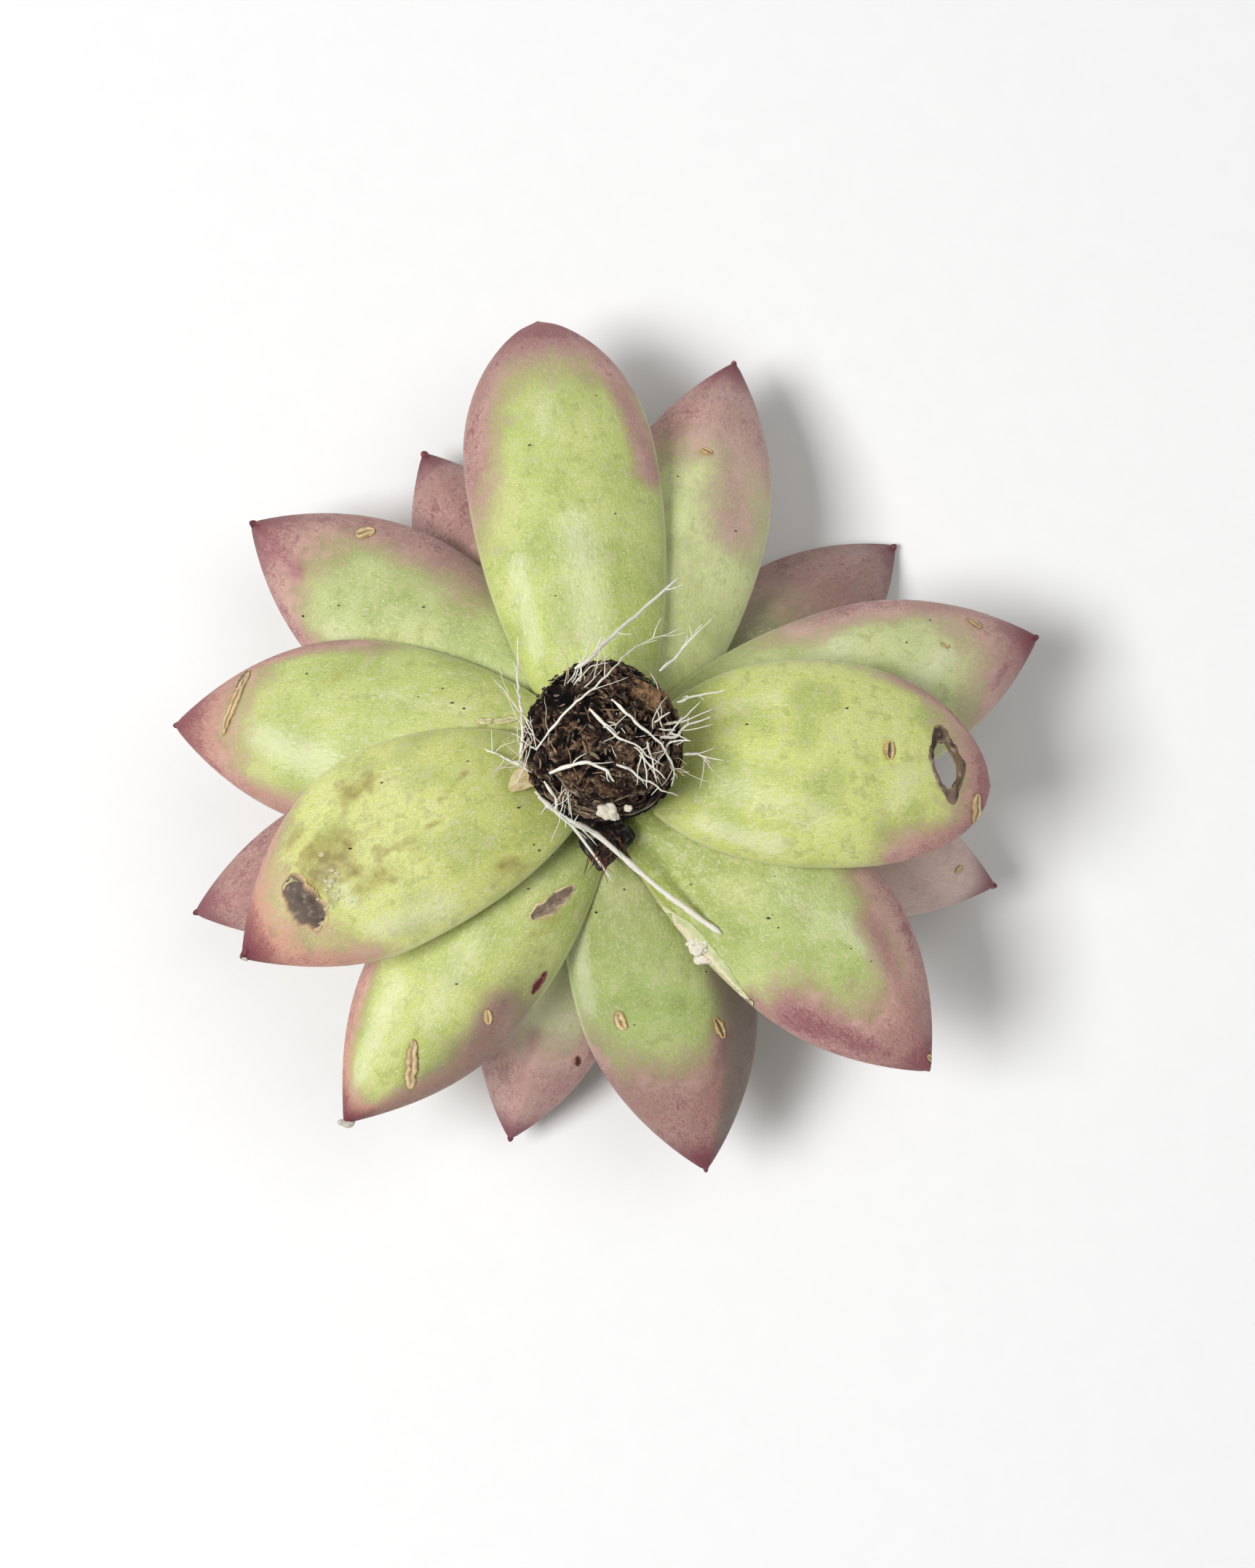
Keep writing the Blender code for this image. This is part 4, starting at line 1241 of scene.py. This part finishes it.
class Paint:
    """A material under way, with short ways to add its nodes."""

    def __init__(self, name, **constants):
        self.material = bpy.data.materials.new(name)
        self.material.use_nodes = True
        self.tree = self.material.node_tree
        self.shader = self.tree.nodes["Principled BSDF"]
        for socket, value in constants.items():
            self.shader.inputs[socket.replace("_", " ")].default_value = value

    def node(self, kind, inputs=None, **settings):
        made = self.tree.nodes.new("ShaderNode" + kind)
        for key, value in settings.items():
            setattr(made, key, value)
        for key, value in (inputs or {}).items():
            if isinstance(value, bpy.types.NodeSocket):
                self.tree.links.new(value, made.inputs[key])
            else:
                made.inputs[key].default_value = value
        return made

    def attribute(self, name, output="Fac"):
        return self.node("Attribute", attribute_name=name).outputs[output]

    def stretched(self, vector, scale):
        return self.node("Mapping", {"Vector": vector, "Scale": scale}).outputs[0]

    def noise(self, vector, size, detail=3.0, roughness=0.55, distortion=0.0):
        inputs = {"Vector": vector, "Scale": 1 / size, "Detail": detail}
        inputs |= {"Roughness": roughness, "Distortion": distortion}
        return self.node("TexNoise", inputs).outputs[0]

    def math(self, operation, a, b):
        return self.node("Math", {0: a, 1: b}, operation=operation).outputs[0]

    def times(self, a, b):
        return self.math("MULTIPLY", a, b)

    def total(self, first, *others):
        for other in others:
            first = self.math("ADD", first, other)
        return first

    def swing(self, noise, size):
        """The noise's part above or below a half, this many times as large."""
        return self.times(self.math("SUBTRACT", noise, 0.5), size)

    def step(self, value, low, high, start=0.0, end=1.0):
        inputs = {"Value": value, "From Min": low, "From Max": high, "To Min": start, "To Max": end}
        return self.node("MapRange", inputs, interpolation_type="SMOOTHSTEP").outputs[0]

    def mix(self, share, a, b, blend="MIX"):
        inputs = {0: share, 6: a, 7: b}
        return self.node("Mix", inputs, data_type="RGBA", blend_type=blend).outputs[2]

    def layers(self, base, *rows):
        """Lays colours over the base. Each row has a value, the two levels of it between
        which the layer changes, the layer's strength at each of them, and its colour."""
        for value, low, high, start, end, code in rows:
            base = self.mix(self.step(value, low, high, start, end), base, rgba(code))
        return base

    def finish(self, base, roughness, height, distance):
        """Links the colour, the roughness and a bump of this height in metres."""
        bump = self.node("Bump", {"Height": height, "Distance": distance, "Strength": 1.0})
        for socket, value in (("Base Color", base), ("Roughness", roughness), ("Normal", bump.outputs[0])):
            self.tree.links.new(value, self.shader.inputs[socket])
        return self.material


def leaf_material():
    p = Paint(
        "succulent_skin",
        Subsurface_Weight=0.12,
        Subsurface_Scale=0.002,
        Subsurface_Radius=(0.9, 1.0, 0.35),
        Specular_IOR_Level=0.5,
        Coat_Weight=0.1,
        Coat_Roughness=0.35,
    )
    place = p.attribute("place", "Vector")
    cloud = p.noise(place, 6.0, 3.0)
    mottle = p.noise(place, 1.5, 5.0, 0.6)
    fleck = p.noise(place, 0.32, 3.0, 0.6)
    grain = p.noise(place, 0.16, 4.0, 0.65)
    strokes = p.noise(p.stretched(place, (0.4, 1.0, 1.0)), 0.3, 3.0, 0.6, 1.0)

    flesh = p.layers(
        p.attribute("flesh", "Vector"),
        (cloud, 0.46, 0.62, 0.0, 0.55, "A4B65C"),
        (cloud, 0.34, 0.46, 0.45, 0.0, "DEE098"),
        (mottle, 0.5, 0.66, 0.0, 0.45, "E2E5AC"),
        (mottle, 0.34, 0.48, 0.42, 0.0, "98A25C"),
        (strokes, 0.54, 0.68, 0.0, 0.35, "E9ECBC"),
        (grain, 0.4, 0.6, 0.3, 0.0, "8F9C54"),
        (fleck, 0.55, 0.68, 0.0, 0.35, "ECEBC8"),
    )
    # Painted highlights: the pale patches, broken into streaks.
    pale = p.total(p.attribute("pale"), p.swing(strokes, 1.8))
    pale = p.times(p.step(pale, 0.0, 1.2, 0.0, 0.5), p.step(p.attribute("pale"), 0.0, 0.6))
    flesh = p.mix(pale, flesh, rgba("EFF2CE"))

    warm = p.attribute("warm")
    mauve = p.mix(p.step(cloud, 0.38, 0.66), rgba("B1867F"), rgba("CFA79B"))
    mauve = p.layers(
        p.mix(warm, mauve, rgba("D8A086")),
        (mottle, 0.34, 0.48, 0.35, 0.0, "8A6062"),
        (mottle, 0.52, 0.68, 0.0, 0.3, "D6B8A8"),
    )
    deep = p.mix(warm, rgba("884A56"), rgba("AC6460"))
    uneven = p.total(p.times(cloud, 0.6), p.times(grain, 0.75))
    uneven = p.total(uneven, p.times(mottle, 0.55), p.times(strokes, 0.55))
    level = p.total(p.attribute("blush"), p.math("SUBTRACT", uneven, 1.22))
    skin = p.mix(p.step(level, 0.08, 0.42), flesh, p.mix(0.55, flesh, rgba("B2937C")))
    skin = p.mix(p.step(level, 0.34, 0.82), skin, mauve)
    skin = p.mix(p.step(level, 0.8, 1.12, 0.0, 0.85), skin, deep)
    skin = p.layers(skin, (fleck, 0.54, 0.7, 0.0, 0.22, "DCCCB6"))
    specks = p.times(p.step(grain, 0.5, 0.64), p.step(level, 0.3, 0.9, 0.0, 0.2))
    skin = p.mix(specks, skin, rgba("70504C"))
    skin = p.mix(p.times(p.attribute("pink"), 0.75), skin, rgba("A4546A"))
    # Painted shade greys the skin, and painted light pales it where the value is below 0.
    painted_shading = p.attribute("painted_shading")
    skin = p.layers(skin, (painted_shading, 0.0, 1.0, 0.0, 0.8, "575040"), (painted_shading, -0.6, 0.0, 0.8, 0.0, "F2E2D4"))
    # Painted highlight: a pale line along the green margins, where the rounded edge catches the light.
    rim = p.times(p.step(p.attribute("edge"), 0.08, 0.42, 0.45, 0.0), p.step(level, 0.9, 0.3))
    skin = p.mix(rim, skin, rgba("E4E2B8"))

    bruise = p.total(p.attribute("bruise"), p.swing(mottle, 1.5))
    bruise = p.times(bruise, p.step(p.attribute("bruise"), 0.02, 0.25))
    skin = p.layers(
        skin,
        (bruise, 0.3, 0.85, 0.0, 0.7, "A09244"),
        (bruise, 0.75, 1.1, 0.0, 0.6, "7A6832"),
    )
    skin = p.mix(p.times(p.attribute("tip"), 0.9), skin, rgba("6E2436"))
    height = p.total(p.times(mottle, 0.5), p.times(strokes, 0.35), p.times(grain, 0.2))
    return p.finish(skin, p.step(mottle, 0.3, 0.7, 0.38, 0.54), height, 0.00026)


def shade_material(name, fine, rough, bump, dark=0.45, **constants):
    """For small things whose colour changes from point to point, with a fine grain over it."""
    p = Paint(name, **constants)
    place = p.attribute("place", "Vector")
    grain = p.noise(place, fine, 4.0, 0.6)
    blotch = p.noise(place, fine * 4, 3.0)
    shade = p.attribute("shade", "Vector")
    base = p.mix(p.step(grain, 0.35, 0.65, dark, 0.0), shade, p.mix(1.0, shade, rgba("A08C78"), "MULTIPLY"))
    base = p.layers(base, (blotch, 0.5, 0.75, 0.0, 0.25, "E4D8BC"))
    return p.finish(base, p.step(grain, 0.3, 0.7, rough - 0.08, rough + 0.08), grain, bump)


def bark_material():
    p = Paint("flaky_bark", Specular_IOR_Level=0.25)
    place = p.attribute("place", "Vector")
    patch = p.noise(place, 1.6, 4.0)
    light = p.noise(place, 2.6, 2.0)
    fibre = p.noise(p.stretched(place, (1.0, 1.0, 2.2)), 0.35, 5.0, 0.65, 1.2)
    speck = p.noise(place, 0.16, 3.0, 0.7)
    level = p.total(p.attribute("relief"), p.swing(fibre, 1.3))
    tan = p.total(p.attribute("tan"), p.swing(fibre, 0.8))
    # By relief: the bark's own browns, with painted shade that makes the crevices and pits near black, and
    # a painted highlight that makes the highest ridges pale; relief also holds the painted shade of the
    # knob's left side and underside.
    base = p.mix(p.step(level, 0.27, 0.58), rgba("050302"), rgba("33211A"))
    base = p.layers(base, (level, 0.52, 0.8, 0.0, 1.0, "634C39"), (level, 0.72, 0.95, 0.0, 1.0, "B09A7E"))
    # Paler brown on some raised parts: partly the bark's own tone, partly painted highlight.
    raised = p.times(p.step(light, 0.5, 0.66), p.step(level, 0.35, 0.7, 0.0, 0.45))
    base = p.layers(
        p.mix(raised, base, rgba("9C7A5A")),
        (patch, 0.56, 0.72, 0.0, 0.5, "5C321A"),
        (speck, 0.62, 0.8, 0.0, 0.5, "A08A70"),
        (tan, 0.3, 0.7, 0.0, 0.85, "B58E68"),
    )
    height = p.total(p.times(fibre, 0.7), p.times(speck, 0.3))
    return p.finish(base, p.step(level, 0.2, 0.8, 0.92, 0.66), height, 0.0005)


def floor_material():
    p = Paint("pale_floor", Specular_IOR_Level=0.2)
    place = p.node("NewGeometry").outputs["Position"]
    grain = p.noise(place, 0.004, 3.0)
    base = p.mix(grain, rgba("F6F6F6"), rgba("FAFAFA"))
    return p.finish(base, p.step(grain, 0.3, 0.7, 0.7, 0.8), grain, 0.00002)


# Stage ---------------------------------------------------------------------------------


def add_floor():
    half = FLOOR_SIZE / 2
    corners = [(-half, -half, 0), (half, -half, 0), (half, half, 0), (-half, half, 0)]
    mesh = new_mesh("floor", corners, [(0, 1, 2, 3)])
    mesh.materials.append(floor_material())
    add_object("floor", mesh)


def add_camera():
    data = bpy.data.cameras.new("camera")
    data.sensor_fit = "VERTICAL"
    data.sensor_height = CAMERA_SENSOR
    data.lens = CAMERA_LENS
    data.clip_start = 0.02
    camera = add_object("camera", data)
    elevation = math.radians(CAMERA_ELEVATION)
    back = Vector((0.0, -math.cos(elevation), math.sin(elevation)))
    camera.location = CAMERA_TARGET + back * CAMERA_DISTANCE
    camera.rotation_euler = (math.radians(90 - CAMERA_ELEVATION), 0.0, 0.0)
    bpy.context.scene.camera = camera


def add_light(name, place, size, power):
    """A soft square light, in metres and watts, that faces the plant."""
    data = bpy.data.lights.new(name, "AREA")
    data.shape = "SQUARE"
    data.size = size
    data.energy = power
    light = add_object(name, data)
    light.location = place
    light.rotation_euler = Vector(place).to_track_quat("Z", "Y").to_euler()


def add_studio():
    """Two lights in a world that is pale low down and dimmer overhead."""
    world = bpy.data.worlds.new("studio")
    world.use_nodes = True
    nodes, links = world.node_tree.nodes, world.node_tree.links
    background = nodes["Background"]
    background.inputs["Color"].default_value = (1.0, 1.0, 1.0, 1.0)
    height = nodes.new("ShaderNodeSeparateXYZ")
    links.new(nodes.new("ShaderNodeTexCoord").outputs["Generated"], height.inputs[0])
    strength = nodes.new("ShaderNodeFloatCurve")
    curve = strength.mapping.curves[0]
    first, *between, last = SKY
    curve.points[0].location, curve.points[1].location = first, last
    for place in between:
        curve.points.new(*place)
    strength.mapping.update()
    links.new(height.outputs["Z"], strength.inputs["Value"])
    links.new(strength.outputs[0], background.inputs["Strength"])
    scene = bpy.context.scene
    scene.world = world
    add_light("key", (-0.45, -0.1, 0.85), 0.35, 7.4)
    add_light("fill", (0.35, 0.2, 0.85), 0.6, 1.6)
    scene.view_settings.view_transform = "Standard"
    scene.view_settings.look = "None"


def main():
    random = np.random.default_rng(11)
    skin = leaf_material()
    cork = shade_material("cork", 0.16, 0.75, 0.00006, 0.22)
    bark = bark_material()
    dried = shade_material("dried_brown", 0.2, 0.8, 0.0001)
    waxy = {"Subsurface_Weight": 0.15, "Subsurface_Scale": 0.0008}
    cream = shade_material("root_cream", 0.12, 0.6, 0.00003, 0.18, **waxy)
    paper = shade_material("papery", 0.14, 0.7, 0.00005)
    stone = shade_material("perlite_white", 0.12, 0.85, 0.00006)

    add_leaves(skin)
    add_scars(cork)
    add_tip_nubs(paper)
    torn = next(leaf for leaf in OUTER_LEAVES if leaf.age == TORN_LEAF_AGE)
    add_piece("torn_margin", torn_margin(torn), cork, "papery_scale")
    add_piece("woody_stem", stem_body(), bark, "bark", "stem")
    add_piece("bark_flakes", bark_flakes(random), dried, "bark")
    add_piece("bark_layers", bark_layers(), dried, "bark")
    add_piece("dried_stub", stub_body(), dried, "dried_leaf", "dried_leaf_stub")
    add_piece("stub_fibres", stub_fibres(random), dried, "dried_leaf")
    add_roots(random, cream)
    add_piece("root_hairs", root_hairs(random), cream, "root")
    add_piece("dry_scale", scale_body(), paper, "papery_scale", "papery_scale")
    add_piece("perlite_grains", perlite_bodies(), stone, "perlite", "perlite_grain")
    add_piece("soil_crumbs", crumbs(random), dried, "bark")
    add_floor()
    add_camera()
    add_studio()


main()
